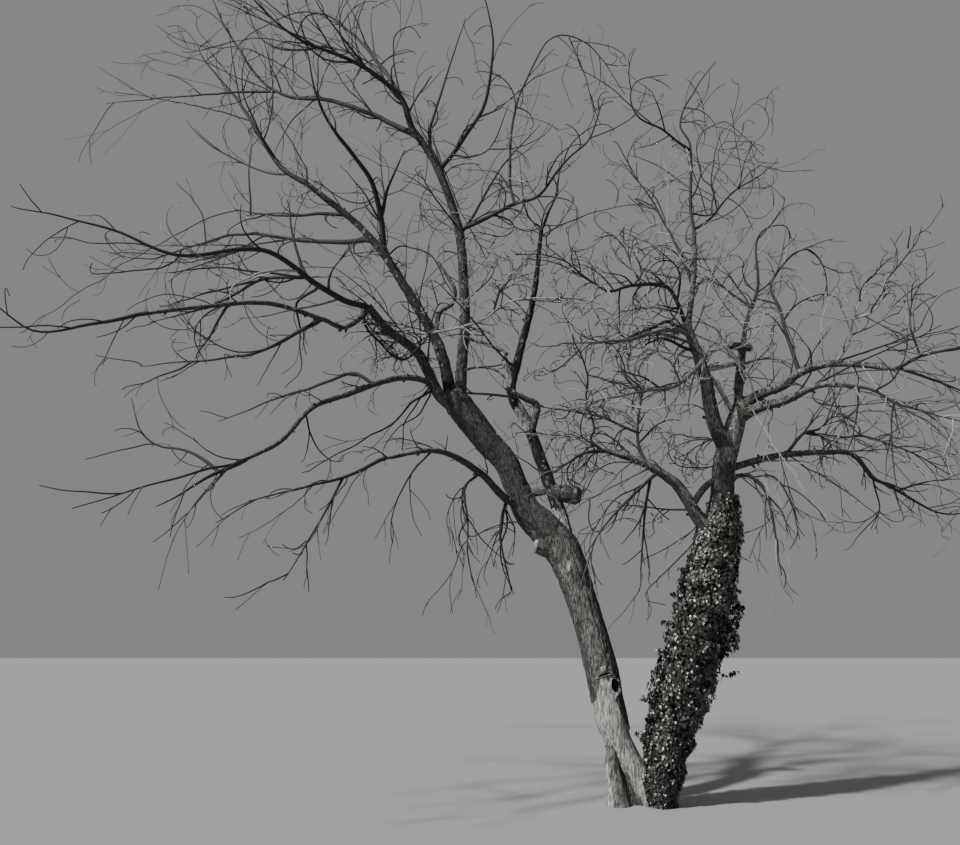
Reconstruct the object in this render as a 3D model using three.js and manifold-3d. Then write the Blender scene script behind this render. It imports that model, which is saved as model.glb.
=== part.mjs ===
import * as THREE from "three";
import Module from "manifold-3d";

const wasm = await Module();
wasm.setup();
const { Manifold, Mesh } = wasm;

// Sizes of the whole tree, in mm. The ground is z = 0 and the crown is widest along X.
const CLEARANCE = 0.3;
const FOOT_TOP = 700;
const STEM_SIDES = 12;
const BOUGH_SIDES = 6;
const TWIG_SIDES = 3;
const TWIG_STEPS = 4;
const TWIG_FREE_SPACE = 30;
const TWIG_TIP = 9;
const TWIGS_PER_MASS = 5;
const GOLDEN_TURN = 2.4;

// The two stems: places on the centre line, then the thickness there.
const STEMS = {
  left_stem: [
    [150, 40, -60, 300], [50, 45, 130, 270], [-50, 55, 270, 250], [-140, 65, 430, 254],
    [-230, 75, 600, 286], [-290, 85, 790, 335], [-320, 95, 1000, 330], [-380, 120, 1350, 330],
    [-460, 150, 1700, 305], [-590, 190, 2160, 325], [-730, 230, 2540, 385], [-920, 260, 2780, 365],
    [-1100, 290, 2970, 315], [-1220, 310, 3240, 262], [-1340, 330, 3540, 264],
    [-1540, 350, 3780, 290], [-1740, 370, 4050, 304], [-1880, 380, 4240, 320], [-1950, 380, 4360, 240],
  ],
  right_stem: [
    [165, -40, -60, 220], [190, -60, 380, 215], [305, -80, 780, 225], [455, -110, 1190, 235],
    [715, -150, 1980, 246], [920, -160, 2810, 245], [1010, -150, 3410, 230],
    [1090, -140, 3640, 220], [1170, -120, 3850, 205], [1270, -100, 4090, 170],
  ],
};
// The second prong of the left foot, and the broken stubs on both stems.
const LEFT_PRONG = [[-290, 30, 690, 90], [-312, 10, 370, 128], [-285, 0, 180, 160], [-262, -10, -60, 212]];
const ELBOW_STUB = [[-790, 235, 2540, 240], [-920, 215, 2570, 215], [-1020, 200, 2590, 170]];
const SIDE_STUB = [[-1140, 300, 3170, 100], [-840, 250, 3215, 90]];
const LOG_STUB = [[-830, 250, 3190, 170], [-700, 235, 3170, 200], [-550, 215, 3140, 215]];
const IVY_SIDE_LINK = [
  [600, -262, 2930, 74], [690, -240, 3070, 72], [850, -195, 3220, 70], [1000, -155, 3250, 60],
];
const BROKEN_TOP = [[1250, 140, 4905, 75], [1380, 135, 4890, 90], [1520, 130, 4865, 84]];
const BOUGH_BRANCHES = { broken_bough: BROKEN_TOP, ivy_side_bough: IVY_SIDE_LINK };
const FLARE = { swell: 0.22, height: 130 };

// The main boughs: the limb each grows from, its thickness at root and tip, and its bends.
const BOUGHS = {
  inner_left_bough: { on: "left_stem", thick: [165, 38], line: [
    [-730, 260, 2880], [-840, 250, 3240], [-1020, 230, 3770], [-1100, 200, 3990], [-1270, 90, 4270],
    [-1240, 40, 4550], [-1170, 0, 4800], [-1020, -140, 5400], [-930, -330, 6140]] },
  left_leader: { on: "left_stem", thick: [142, 68], line: [
    [-1960, 385, 4250], [-2100, 460, 4910], [-2270, 560, 5310], [-2580, 720, 5890],
    [-2890, 880, 6440], [-3310, 1060, 7000], [-4090, 1350, 7790]] },
  upright_bough: { on: "left_stem", thick: [141, 76], line: [
    [-1870, 375, 4230], [-1860, 330, 4650], [-1820, 280, 5160], [-1830, 200, 5660],
    [-1900, 60, 6380], [-2180, -120, 7150], [-2460, -210, 7570]] },
  low_left_bough: { on: "left_stem", thick: [140, 78], line: [
    [-1900, 375, 4190], [-2110, 335, 4350], [-2250, 250, 4620], [-2360, 120, 4800],
    [-2680, -250, 4950], [-2880, -420, 5160]] },
  low_left_reach: { on: "low_left_bough", thick: [58, 34], line: [
    [-2860, -400, 5130], [-3110, -460, 4890], [-3340, -620, 4920], [-3870, -900, 4980],
    [-4490, -1180, 4810], [-4890, -1350, 4680]] },
  drooping_left_bough: { on: "low_left_bough", thick: [72, 34], line: [
    [-2120, 330, 4370], [-2290, 230, 4500], [-2600, 40, 4460], [-3080, -430, 4120],
    [-3360, -760, 3880], [-3580, -1080, 3450], [-3820, -1350, 3210]] },
  low_hanging_bough: { on: "left_stem", thick: [92, 32], line: [
    [-1170, 300, 3090], [-1330, 160, 3080], [-1630, -100, 3330], [-2060, -520, 3480],
    [-2560, -1000, 3300]] },
  back_left_bough: { on: "left_stem", thick: [98, 74], line: [
    [-1900, 380, 4280], [-1880, 900, 4840], [-1840, 1350, 5590], [-1860, 1750, 6370],
    [-1940, 2150, 7330]] },
  right_fork_bough: { on: "right_stem", thick: [175, 88], line: [
    [1080, -140, 3600], [950, -200, 3790], [880, -260, 4020], [830, -330, 4340], [630, -430, 4950]] },
  right_upright_bough: { on: "right_fork_bough", thick: [66, 44], line: [
    [650, -430, 4920], [740, -380, 5340], [800, -330, 5680], [850, -250, 6180]] },
  broken_bough: { on: "right_stem", thick: [100, 84], line: [
    [1240, -100, 4010], [1310, 30, 4420], [1380, 100, 4680], [1430, 140, 4860]] },
  right_reach_bough: { on: "right_stem", thick: [112, 50], line: [
    [1250, -105, 4050], [1430, -180, 4190], [1690, -310, 4270], [1830, -400, 4380], [2130, -600, 4420],
    [2580, -960, 4240]] },
  right_second_bough: { on: "right_stem", thick: [120, 38], line: [
    [1220, -110, 3950], [1400, -230, 4030], [1590, -520, 4030], [1770, -990, 4050], [1890, -1250, 3970]] },
  right_low_bough: { on: "right_stem", thick: [80, 54], line: [
    [1010, -140, 3340], [1230, 0, 3440], [1770, 320, 3620], [2170, 580, 3710], [2590, 830, 3780],
    [3000, 1060, 3800], [3310, 1280, 3560]] },
  ivy_side_bough: { on: "right_stem", thick: [165, 46], line: [
    [860, -160, 2560], [610, -260, 2910], [430, -320, 3180], [50, -350, 3410], [-300, -370, 3520]] },
  back_right_bough: { on: "right_stem", thick: [100, 74], line: [
    [1170, -120, 3810], [1350, 250, 4210], [1540, 650, 4620], [1740, 1100, 5060], [1930, 1500, 5500]] },
};

// The twig masses: each has one stem and a few arms, and seeded twigs grow on them.
const MASSES = {
  low_reach_twigs: { on: "low_left_reach", seed: 11, reach: 620, fall: 0.1, lines: [
    { thick: [33, 9], line: [[-4890, -1350, 4680], [-5290, -1500, 4520], [-5790, -1650, 4370],
      [-6170, -1850, 4600]] }] },
  upper_reach_twigs: { on: "low_left_bough", seed: 12, reach: 560, fall: 0, lines: [
    { thick: [54, 9], line: [[-2870, -410, 5140], [-3130, -700, 5120], [-3410, -1150, 5160],
      [-3790, -1450, 5310], [-4420, -1900, 5030], [-4990, -2100, 5180], [-5770, -2350, 5270]] },
    { thick: [32, 9], line: [[-3410, -1150, 5160], [-3820, -1000, 5210], [-4110, -850, 5190],
      [-4410, -700, 5080], [-5290, -400, 4970]] }] },
  lower_reach_twigs: { on: "low_left_reach", seed: 13, reach: 520, fall: 0.2, lines: [
    { thick: [36, 9], line: [[-3340, -620, 4920], [-3590, -550, 4810], [-3900, -420, 4680],
      [-4360, -250, 4620], [-5560, 100, 4630]] }] },
  leader_tip_twigs: { on: "left_leader", seed: 14, reach: 760, fall: -0.2, lines: [
    { thick: [62, 12], line: [[-4090, 1350, 7790], [-4450, 1450, 8070], [-4820, 1600, 8640],
      [-5330, 1850, 9510], [-6130, 2150, 10680], [-5990, 2250, 10950]] }] },
  far_left_twigs: { on: "left_leader", seed: 15, reach: 700, fall: 0.1, lines: [
    { thick: [54, 9], line: [[-3090, 970, 6690], [-3530, 1250, 6820], [-4220, 1700, 7090],
      [-5240, 2200, 7450], [-5940, 2500, 7440], [-6950, 2900, 7390], [-7770, 3100, 7650]] }] },
  middle_left_twigs: { on: "left_leader", seed: 16, reach: 560, fall: -0.1, lines: [
    { thick: [42, 12], line: [[-3460, 1110, 7150], [-3880, 1350, 7300], [-4450, 1600, 7410],
      [-5270, 1950, 7720]] },
    { thick: [24, 8], line: [[-4980, 1820, 7560], [-5060, 1850, 8250], [-5110, 2000, 8960]] }] },
  y_fork_twigs: { on: "left_leader", seed: 17, reach: 520, fall: -0.2, lines: [
    { thick: [64, 12], line: [[-2900, 885, 6450], [-2930, 760, 6880], [-3030, 520, 7260],
      [-3280, 300, 7570], [-3620, 0, 8000], [-3790, -300, 8650]] },
    { thick: [44, 10], line: [[-2930, 740, 6920], [-2850, 640, 7230], [-2610, 420, 7690]] }] },
  crown_left_twigs: { on: "upright_bough", seed: 18, reach: 620, fall: -0.2, lines: [
    { thick: [60, 12], line: [[-2460, -210, 7570], [-2640, -330, 7960], [-3100, -560, 8220],
      [-3810, -850, 8360], [-4400, -1200, 8770]] },
    { thick: [44, 9], line: [[-2640, -330, 7960], [-2750, -100, 8340], [-3410, 400, 9510],
      [-4050, 750, 10090], [-4280, 900, 9660], [-4230, 950, 9120]] },
    { thick: [30, 9], line: [[-2830, -430, 8080], [-2950, -800, 7950], [-3360, -1700, 8060]] }] },
  crown_far_left_twigs: { on: "upright_bough", seed: 19, reach: 640, fall: -0.1, lines: [
    { thick: [52, 11], line: [[-2420, -200, 7510], [-2590, -100, 7640], [-2990, 50, 7960],
      [-3560, 350, 8380], [-4460, 800, 8870], [-5230, 1150, 10010], [-5920, 1500, 11450]] },
    { thick: [28, 8], line: [[-4460, 800, 8870], [-5010, 1000, 9010], [-5650, 1200, 9120],
      [-7200, 1600, 9270]] }] },
  crown_up_twigs: { on: "upright_bough", seed: 20, reach: 560, fall: -0.3, lines: [
    { thick: [46, 10], line: [[-2160, -110, 7110], [-2270, 50, 7570], [-2200, 110, 8040],
      [-2030, 250, 8830], [-1840, 450, 9770]] }] },
  crown_right_twigs: { on: "upright_bough", seed: 21, reach: 560, fall: -0.1, lines: [
    { thick: [60, 10], line: [[-2120, -90, 7080], [-1870, -250, 7340], [-1570, -500, 7710],
      [-1510, -650, 8010], [-1490, -800, 8430], [-1610, -950, 8960]] },
    { thick: [30, 8], line: [[-1980, -180, 7230], [-1760, -350, 7080], [-1520, -550, 7080],
      [-1310, -850, 7420]] }] },
  back_left_twigs: { on: "back_left_bough", seed: 22, reach: 760, fall: -0.1, lines: [
    { thick: [66, 12], line: [[-1940, 2150, 7330], [-2070, 2400, 8050], [-2280, 2700, 8950],
      [-2910, 3000, 10390]] },
    { thick: [50, 10], line: [[-1950, 2170, 7380], [-1640, 2350, 8030], [-1320, 2500, 8730],
      [-650, 2750, 9730]] }] },
  inner_left_twigs: { on: "inner_left_bough", seed: 23, reach: 420, fall: -0.1, lines: [
    { thick: [36, 9], line: [[-930, -330, 6140], [-850, -420, 6330], [-760, -500, 6490],
      [-730, -600, 6840]] },
    { thick: [24, 8], line: [[-925, -335, 6160], [-1080, -200, 6400], [-1150, 100, 7270]] }] },
  cross_twigs: { on: "upright_bough", seed: 24, reach: 480, fall: 0, lines: [
    { thick: [56, 9], line: [[-1885, 85, 6360], [-1570, -150, 6390], [-1220, -400, 6450],
      [-970, -600, 6430], [-680, -900, 6690], [-450, -1050, 6840], [-310, -1300, 7160]] },
    { thick: [36, 9], line: [[-1240, -390, 6450], [-1290, -330, 6790], [-1220, -120, 7810],
      [-1050, 0, 8420], [-640, 160, 9220], [-160, 280, 9140], [270, 400, 8510]] },
    { thick: [20, 8], line: [[-460, 220, 9250], [-280, 100, 8500], [-200, -50, 7730]] }] },
  front_curl_twigs: { on: "left_leader", seed: 25, reach: 380, fall: 0.1, lines: [
    { thick: [48, 9], line: [[-2270, 560, 5190], [-2460, 420, 4990], [-2600, 300, 4800],
      [-2670, 160, 4880], [-2540, 20, 5000], [-2210, -90, 4960], [-1650, -280, 5030],
      [-1270, -440, 5210], [-530, -820, 5070]] },
    { thick: [22, 8], line: [[-1480, -350, 5140], [-1410, -420, 5340], [-1280, -500, 5530]] }] },
  droop_left_twigs: { on: "drooping_left_bough", seed: 26, reach: 520, fall: 0.3, lines: [
    { thick: [33, 9], line: [[-3820, -1350, 3210], [-4020, -1550, 3040], [-4390, -1900, 2680]] },
    { thick: [26, 8], line: [[-4000, -1530, 3050], [-4300, -1400, 3250], [-4820, -1200, 3440],
      [-5120, -1000, 3910]] },
    { thick: [22, 8], line: [[-3860, -1390, 3180], [-4230, -2050, 2890], [-4770, -2550, 2560]] }] },
  mid_left_twigs: { on: "drooping_left_bough", seed: 27, reach: 480, fall: 0.2, lines: [
    { thick: [34, 9], line: [[-2830, -170, 4330], [-3060, -100, 4480], [-3370, 80, 4440],
      [-3830, 330, 4380], [-4850, 820, 4170]] }] },
  hanging_tip_twigs: { on: "low_hanging_bough", seed: 28, reach: 420, fall: 0.4, lines: [
    { thick: [30, 8], line: [[-2560, -1000, 3300], [-2730, -1150, 3170], [-2940, -1350, 3030],
      [-3580, -2000, 2710]] },
    { thick: [20, 8], line: [[-2910, -1320, 3050], [-3080, -1450, 2630], [-3330, -1650, 2080]] }] },
  knob_twigs: { on: "low_hanging_bough", seed: 29, reach: 300, fall: 0.5, lines: [
    { thick: [44, 9], line: [[-1330, 150, 3080], [-1400, 80, 2860], [-1420, 60, 2630],
      [-1310, 10, 2090]] }] },
  hanging_front_twigs: { on: "low_hanging_bough", seed: 30, reach: 320, fall: 0.5, lines: [
    { thick: [34, 8], line: [[-1640, -110, 3330], [-1810, -170, 3160], [-1760, -190, 2830],
      [-1770, -210, 2460], [-1670, -230, 1990]] }] },
  right_curl_twigs: { on: "right_fork_bough", seed: 31, reach: 420, fall: 0, lines: [
    { thick: [56, 9], line: [[620, -430, 4930], [520, -500, 5190], [400, -570, 5320],
      [-10, -800, 5230], [-330, -980, 5090], [-980, -1350, 5420]] }] },
  right_up_twigs: { on: "right_upright_bough", seed: 32, reach: 520, fall: -0.1, lines: [
    { thick: [44, 9], line: [[850, -250, 6180], [840, -200, 6480], [940, -60, 7430],
      [860, 10, 7770], [1120, 100, 8380], [1430, 180, 8840]] },
    { thick: [34, 8], line: [[850, -250, 6190], [1030, -150, 6340], [1520, 150, 6950],
      [1880, 350, 7250], [2250, 550, 7600]] },
    { thick: [32, 8], line: [[930, -70, 7360], [580, -250, 7490], [210, -420, 7630],
      [210, -520, 7970], [580, -600, 8020]] }] },
  right_middle_twigs: { on: "right_upright_bough", seed: 33, reach: 460, fall: -0.1, lines: [
    { thick: [46, 9], line: [[755, -365, 5410], [720, -280, 5660], [650, -100, 6110],
      [450, 220, 6930], [180, 480, 7590]] }] },
  inner_right_twigs: { on: "right_fork_bough", seed: 34, reach: 380, fall: 0.2, lines: [
    { thick: [60, 9], line: [[680, -410, 4810], [400, -650, 4800], [130, -850, 4660],
      [-170, -1080, 4490], [-890, -1600, 4270]] }] },
  front_drop_twigs: { on: "right_fork_bough", seed: 35, reach: 400, fall: 0.3, lines: [
    { thick: [56, 9], line: [[780, -360, 4510], [800, -500, 4530], [620, -620, 4320],
      [350, -820, 4090], [-30, -1100, 3960], [-730, -1650, 3660]] },
    { thick: [28, 8], line: [[-30, -1100, 3960], [-250, -1230, 4170], [-190, -1280, 4370]] }] },
  right_rise_twigs: { on: "right_reach_bough", seed: 36, reach: 460, fall: 0, lines: [
    { thick: [52, 9], line: [[1830, -400, 4370], [1820, -330, 4590], [1810, -80, 5280],
      [1820, 60, 5670], [2300, 220, 6180], [2560, 310, 6030], [2610, 380, 5540]] }] },
  right_branch_twigs: { on: "right_reach_bough", seed: 37, reach: 380, fall: 0, lines: [
    { thick: [34, 9], line: [[2130, -600, 4410], [2240, -720, 4580], [2270, -850, 4830],
      [2370, -950, 5070], [2380, -1000, 5220]] },
    { thick: [26, 8], line: [[2270, -850, 4820], [2450, -950, 4870], [2630, -1120, 5300],
      [2760, -1200, 5470]] }] },
  right_far_twigs: { on: "right_reach_bough", seed: 38, reach: 520, fall: 0, lines: [
    { thick: [42, 9], line: [[2580, -960, 4240], [2780, -1120, 4320], [3310, -1650, 4300]] },
    { thick: [34, 8], line: [[2600, -975, 4245], [2840, -1000, 4150], [3340, -1100, 3860]] },
    { thick: [26, 8], line: [[2770, -1100, 4310], [2730, -1080, 4700], [2920, -1020, 5120],
      [3110, -1000, 5290]] }] },
  right_second_twigs: { on: "right_second_bough", seed: 39, reach: 480, fall: 0.3, lines: [
    { thick: [36, 9], line: [[1890, -1250, 3970], [2000, -1500, 3850], [2090, -1850, 3600],
      [2260, -2450, 3270]] }] },
  right_low_twigs: { on: "right_low_bough", seed: 40, reach: 620, fall: 0.2, lines: [
    { thick: [52, 9], line: [[3310, 1280, 3560], [3660, 1480, 3460], [4440, 1900, 3210],
      [5200, 2250, 3260]] },
    { thick: [28, 8], line: [[3330, 1290, 3550], [3380, 1330, 3210], [3260, 1380, 2910]] }] },
  right_low_rise_twigs: { on: "right_low_bough", seed: 41, reach: 520, fall: -0.1, lines: [
    { thick: [50, 9], line: [[1900, 400, 3650], [2170, 450, 3920], [2410, 500, 4010],
      [2680, 560, 4300]] },
    { thick: [46, 9], line: [[2200, 455, 3930], [2810, 900, 3990], [3210, 1100, 4040],
      [3920, 1450, 3930], [4640, 1850, 3700]] }] },
  ivy_side_twigs: { on: "ivy_side_bough", seed: 42, reach: 320, fall: 0.2, lines: [
    { thick: [44, 9], line: [[-300, -370, 3520], [-540, -500, 3470], [-900, -700, 3210]] },
    { thick: [30, 8], line: [[-330, -385, 3520], [-440, -50, 3710], [-670, 150, 3810],
      [-1220, 550, 3950]] }] },
  ivy_side_rise_twigs: { on: "ivy_side_bough", seed: 43, reach: 320, fall: 0, lines: [
    { thick: [44, 9], line: [[130, -345, 3370], [70, -250, 3630], [110, -150, 3950],
      [250, 0, 4430]] },
    { thick: [34, 8], line: [[80, -210, 3760], [-270, -50, 3970], [-550, 100, 4080],
      [-1020, 400, 4250]] }] },
  ivy_side_hanging_twigs: { on: "ivy_side_bough", seed: 44, reach: 340, fall: 0.5, lines: [
    { thick: [42, 9], line: [[240, -340, 3290], [-60, -480, 3020], [-370, -650, 2710],
      [-600, -760, 2390]] },
    { thick: [36, 9], line: [[150, -385, 3200], [110, -300, 2940], [30, -260, 2320],
      [0, -250, 2060]] }] },
  right_hanging_twigs: { on: "right_stem", seed: 45, reach: 340, fall: 0.5, lines: [
    { thick: [54, 8], line: [[1010, -150, 3160], [1120, -270, 3270], [1230, -350, 3240],
      [1350, -450, 3010], [1360, -520, 2510], [1370, -560, 2200]] },
    { thick: [26, 8], line: [[1240, -355, 3230], [1400, -540, 3200], [1500, -620, 2950],
      [1530, -700, 2540]] }] },
  back_right_twigs: { on: "back_right_bough", seed: 46, reach: 700, fall: -0.1, lines: [
    { thick: [68, 10], line: [[1930, 1500, 5500], [2100, 1700, 5950], [2320, 1850, 6410],
      [2450, 2000, 7290], [2920, 2150, 7560], [3060, 2220, 7260]] },
    { thick: [40, 9], line: [[2150, 1730, 6050], [1850, 2200, 6700], [1700, 2600, 7500]] }] },
};

// The ivy on the right stem: places on its centre line, then its width with the leaves.
const IVY_WIDTHS = [
  [150, -60, 10, 350], [165, -65, 290, 430], [185, -70, 480, 530], [250, -75, 660, 520],
  [365, -90, 950, 630], [425, -100, 1090, 660], [505, -120, 1330, 680], [650, -130, 1630, 690],
  [710, -140, 1900, 650], [760, -150, 2190, 585], [820, -155, 2440, 530], [895, -160, 2710, 450],
  [970, -160, 2940, 360], [1000, -160, 3110, 280],
];
const IVY = {
  foot: 15, top: 3110, bands: 4, sides: 11, rings: 7, core_share: 0.8, lump: 0.12,
  leaf_length: 125, leaf_width: 105, leaf_thick: 10, leaves: 34,
};
const IVY_NAMES = ["ivy_foot", "ivy_lower", "ivy_upper", "ivy_top"];
// Sprigs of ivy that stand out past the rest: height, bearing in radians, and length.
const IVY_SPRIGS = [[1980, 3.4, 150], [1700, 3.3, 180], [960, 3.5, 180], [1190, -0.2, 260], [1850, 0, 150]];

// Same numbers each time: a plain multiply-and-add rule started from the mass's own seed.
function seeded(seed) {
  let state = seed >>> 0;
  const draw = () => {
    state = (Math.imul(state, 1664525) + 1013904223) >>> 0;
    return state / 4294967296;
  };
  draw();
  draw();
  return draw;
}

const vector = (place) => new THREE.Vector3(place[0], place[1], place[2]);

// A line through its stations, rounded at each so that a limb bends without a corner.
function bendLine(stations) {
  const last = stations.length - 1;
  const ways = stations.map((_, i) => {
    return stations[Math.min(i + 1, last)].clone().sub(stations[Math.max(i - 1, 0)]).normalize();
  });
  return (share) => {
    const part = Math.min(Math.max(share, 0), 1) * last;
    const i = Math.min(Math.floor(part), last - 1);
    const t = part - i;
    const reach = stations[i].distanceTo(stations[i + 1]);
    const place = stations[i].clone().multiplyScalar(1 + t * t * (2 * t - 3));
    place.addScaledVector(stations[i + 1], t * t * (3 - 2 * t));
    place.addScaledVector(ways[i], reach * t * (1 - t) * (1 - t));
    place.addScaledVector(ways[i + 1], reach * t * t * (t - 1));
    return place;
  };
}

function pointsAlong(stations, perSpan) {
  const at = bendLine(stations);
  const count = (stations.length - 1) * perSpan;
  return Array.from({ length: count + 1 }, (_, i) => at(i / count));
}

function taper(points, rootWidth, tipWidth) {
  let total = 0;
  const far = points.map((p, i) => {
    total += i ? p.distanceTo(points[i - 1]) : 0;
    return total;
  });
  return far.map((length) => (rootWidth + (tipWidth - rootWidth) * (length / total)) / 2);
}

// Closed solid round a line of points: a ring of flat sides at each point and a flat cap at each end.
function tube(points, radii, sides, grow = 0) {
  const last = points.length - 1;
  const ways = points.map((_, i) => {
    return points[Math.min(i + 1, last)].clone().sub(points[Math.max(i - 1, 0)]).normalize();
  });
  const rings = [];
  let side = new THREE.Vector3(0.31, 0.87, 0.12);
  const wall = grow / Math.cos(Math.PI / sides);
  points.forEach((p, i) => {
    side.addScaledVector(ways[i], -side.dot(ways[i])).normalize();
    const across = ways[i].clone().cross(side);
    const end = i === 0 ? -grow : i === last ? grow : 0;
    const centre = p.clone().addScaledVector(ways[i], end);
    const ring = [];
    for (let k = 0; k < sides; k++) {
      const turn = (2 * Math.PI * k) / sides;
      const out = radii[i] + wall;
      const place = centre.clone().addScaledVector(side, out * Math.cos(turn));
      ring.push(place.addScaledVector(across, out * Math.sin(turn)));
    }
    rings.push(ring);
  });
  return skin(rings);
}

function skin(rings) {
  const sides = rings[0].length;
  const places = rings.flat();
  const faces = [];
  for (let i = 0; i + 1 < rings.length; i++) {
    for (let k = 0; k < sides; k++) {
      const a = i * sides + k;
      const b = i * sides + ((k + 1) % sides);
      faces.push([a, b, b + sides], [a, b + sides, a + sides]);
    }
  }
  const top = (rings.length - 1) * sides;
  for (let k = 1; k + 1 < sides; k++) {
    faces.push([0, k + 1, k], [top, top + k, top + k + 1]);
  }
  return solidOf(places, faces);
}

function solidOf(places, faces) {
  const vertProperties = new Float32Array(places.flatMap((p) => [p.x, p.y, p.z]));
  const triVerts = new Uint32Array(faces.flat());
  return new Manifold(new Mesh({ numProp: 3, vertProperties, triVerts }));
}

function largest(solid) {
  const pieces = solid.decompose();
  return pieces.reduce((best, piece) => (piece.volume() > best.volume() ? piece : best));
}

function distanceToSegment(p, a, b) {
  const along = b.clone().sub(a);
  const share = Math.min(Math.max(p.clone().sub(a).dot(along) / along.lengthSq(), 0), 1);
  return p.distanceTo(a.clone().addScaledVector(along, share));
}

// Every limb and twig stem as short straight runs, so that a twig can be kept clear of them.
const runs = [];
function noteRuns(owner, mass, points, radii) {
  for (let i = 0; i + 1 < points.length; i++) {
    runs.push({ owner, mass, a: points[i], b: points[i + 1], radius: Math.max(radii[i], radii[i + 1]) });
  }
}

function limb(stations, rootWidth, tipWidth, sides, perSpan) {
  const points = pointsAlong(stations, perSpan);
  const radii = taper(points, rootWidth, tipWidth);
  return { points, radii, solid: tube(points, radii, sides), clear: tube(points, radii, sides, CLEARANCE) };
}

// Stems, stubs and the log: the thickness is given at each station.
function thickLimb(table, sides, perSpan, grow = 0) {
  const stations = table.map(vector);
  const points = pointsAlong(stations, perSpan);
  const radii = points.map((p, i) => {
    const part = i / perSpan;
    const k = Math.min(Math.floor(part), table.length - 2);
    const width = table[k][3] + (table[k + 1][3] - table[k][3]) * (part - k);
    return (width / 2) * (1 + FLARE.swell * Math.exp(-Math.max(p.z, 0) / FLARE.height));
  });
  return { points, radii, solid: tube(points, radii, sides, grow) };
}

const placed = [];
function place(name, solid, clear, kind) {
  placed.push({ name, solid, clear, kind });
}

function boxesMeet(a, b) {
  const one = a.boundingBox();
  const two = b.boundingBox();
  return [0, 1, 2].every((i) => one.min[i] < two.max[i] + 1 && two.min[i] < one.max[i] + 1);
}

function clearOfPlaced(solid) {
  let left = solid;
  for (const other of placed) {
    if (boxesMeet(left, other.clear)) {
      left = left.subtract(other.clear);
    }
  }
  return largest(left);
}

// Stems and the foot they share.
const leftTable = STEMS.left_stem;
const rightTable = STEMS.right_stem;
const left = thickLimb(leftTable, STEM_SIDES, 1);
const right = thickLimb(rightTable, STEM_SIDES, 1);
const prong = thickLimb(LEFT_PRONG, 8, 1);
const up = [0, 0, 1];
const footWhole = left.solid.add(right.solid).add(prong.solid);
const foot = footWhole.trimByPlane(up, 0).trimByPlane([0, 0, -1], -FOOT_TOP);
const leftStub = thickLimb(ELBOW_STUB, 8, 1).solid;
const innerBough = BOUGHS.inner_left_bough;
const innerClear = limb(innerBough.line.map(vector), ...innerBough.thick, BOUGH_SIDES, 1).clear;
const sideStub = largest(thickLimb(SIDE_STUB, 7, 1).solid.subtract(innerClear));
const aboveFoot = FOOT_TOP + CLEARANCE;
const leftStem = largest(left.solid.add(leftStub).add(sideStub).trimByPlane(up, aboveFoot));
const rightStem = largest(right.solid.trimByPlane(up, aboveFoot));
const stemClear = thickLimb(leftTable, STEM_SIDES, 1, CLEARANCE).solid
  .add(thickLimb(ELBOW_STUB, 8, 1, CLEARANCE).solid)
  .add(thickLimb(SIDE_STUB, 7, 1, CLEARANCE).solid.subtract(innerClear));
noteRuns("left_stem", false, left.points, left.radii);
noteRuns("right_stem", false, right.points, right.radii);
place("trunk_foot", largest(foot), thickLimb(LEFT_PRONG, 8, 1, CLEARANCE).solid, "bark");
place("left_stem", leftStem, stemClear, "bark");
place("right_stem", rightStem, thickLimb(rightTable, STEM_SIDES, 1, CLEARANCE).solid, "bark");

// Main boughs: each starts inside the limb that bears it and is cut 0.3 mm clear of it.
for (const [name, bough] of Object.entries(BOUGHS)) {
  const made = limb(bough.line.map(vector), ...bough.thick, BOUGH_SIDES, 1);
  let solid = made.solid;
  let clear = made.clear;
  if (BOUGH_BRANCHES[name]) {
    solid = solid.add(thickLimb(BOUGH_BRANCHES[name], 7, 1).solid);
    clear = clear.add(thickLimb(BOUGH_BRANCHES[name], 7, 1, CLEARANCE).solid);
  }
  noteRuns(name, false, made.points, made.radii);
  place(name, clearOfPlaced(solid), clear, "bark");
}
const log = thickLimb(LOG_STUB, 10, 1);
noteRuns("log_stub", false, log.points, log.radii);
place("log_stub", clearOfPlaced(log.solid), thickLimb(LOG_STUB, 10, 1, CLEARANCE).solid, "bark");

// A twig leaves its stem at a slant, then curls one way all along, as this kind of tree does.
function twigLine(draw, start, way, side, length, fall) {
  const slant = 0.7 + 0.5 * draw();
  const heading = way.clone().multiplyScalar(Math.cos(slant)).addScaledVector(side, Math.sin(slant));
  const axis = heading.clone().cross(new THREE.Vector3(0.2, -0.5, 1)).normalize();
  axis.applyAxisAngle(heading, draw() * 2 * Math.PI);
  const turn = (0.5 + 2.4 * draw()) * (draw() < 0.5 ? -1 : 1);
  const line = [start.clone()];
  for (let i = 0; i < TWIG_STEPS; i++) {
    heading.applyAxisAngle(axis, (turn / TWIG_STEPS) * (0.5 + i / TWIG_STEPS));
    heading.z -= fall / TWIG_STEPS;
    heading.normalize();
    line.push(line[i].clone().addScaledVector(heading, length / TWIG_STEPS));
  }
  return line;
}

// A twig stays if it lies nearer to its own mass than to any other and is clear of every limb.
function hasRoom(line, owner, radius) {
  for (let i = 1; i < line.length; i++) {
    const p = line[i];
    let own = Infinity;
    let other = Infinity;
    for (const run of runs) {
      const gap = distanceToSegment(p, run.a, run.b);
      if (run.owner === owner) {
        own = Math.min(own, gap);
      } else if (run.mass) {
        other = Math.min(other, gap);
      } else if (gap < run.radius + radius + TWIG_FREE_SPACE) {
        return false;
      }
    }
    if (own > other - TWIG_FREE_SPACE || p.z < 250) {
      return false;
    }
  }
  return true;
}

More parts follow.
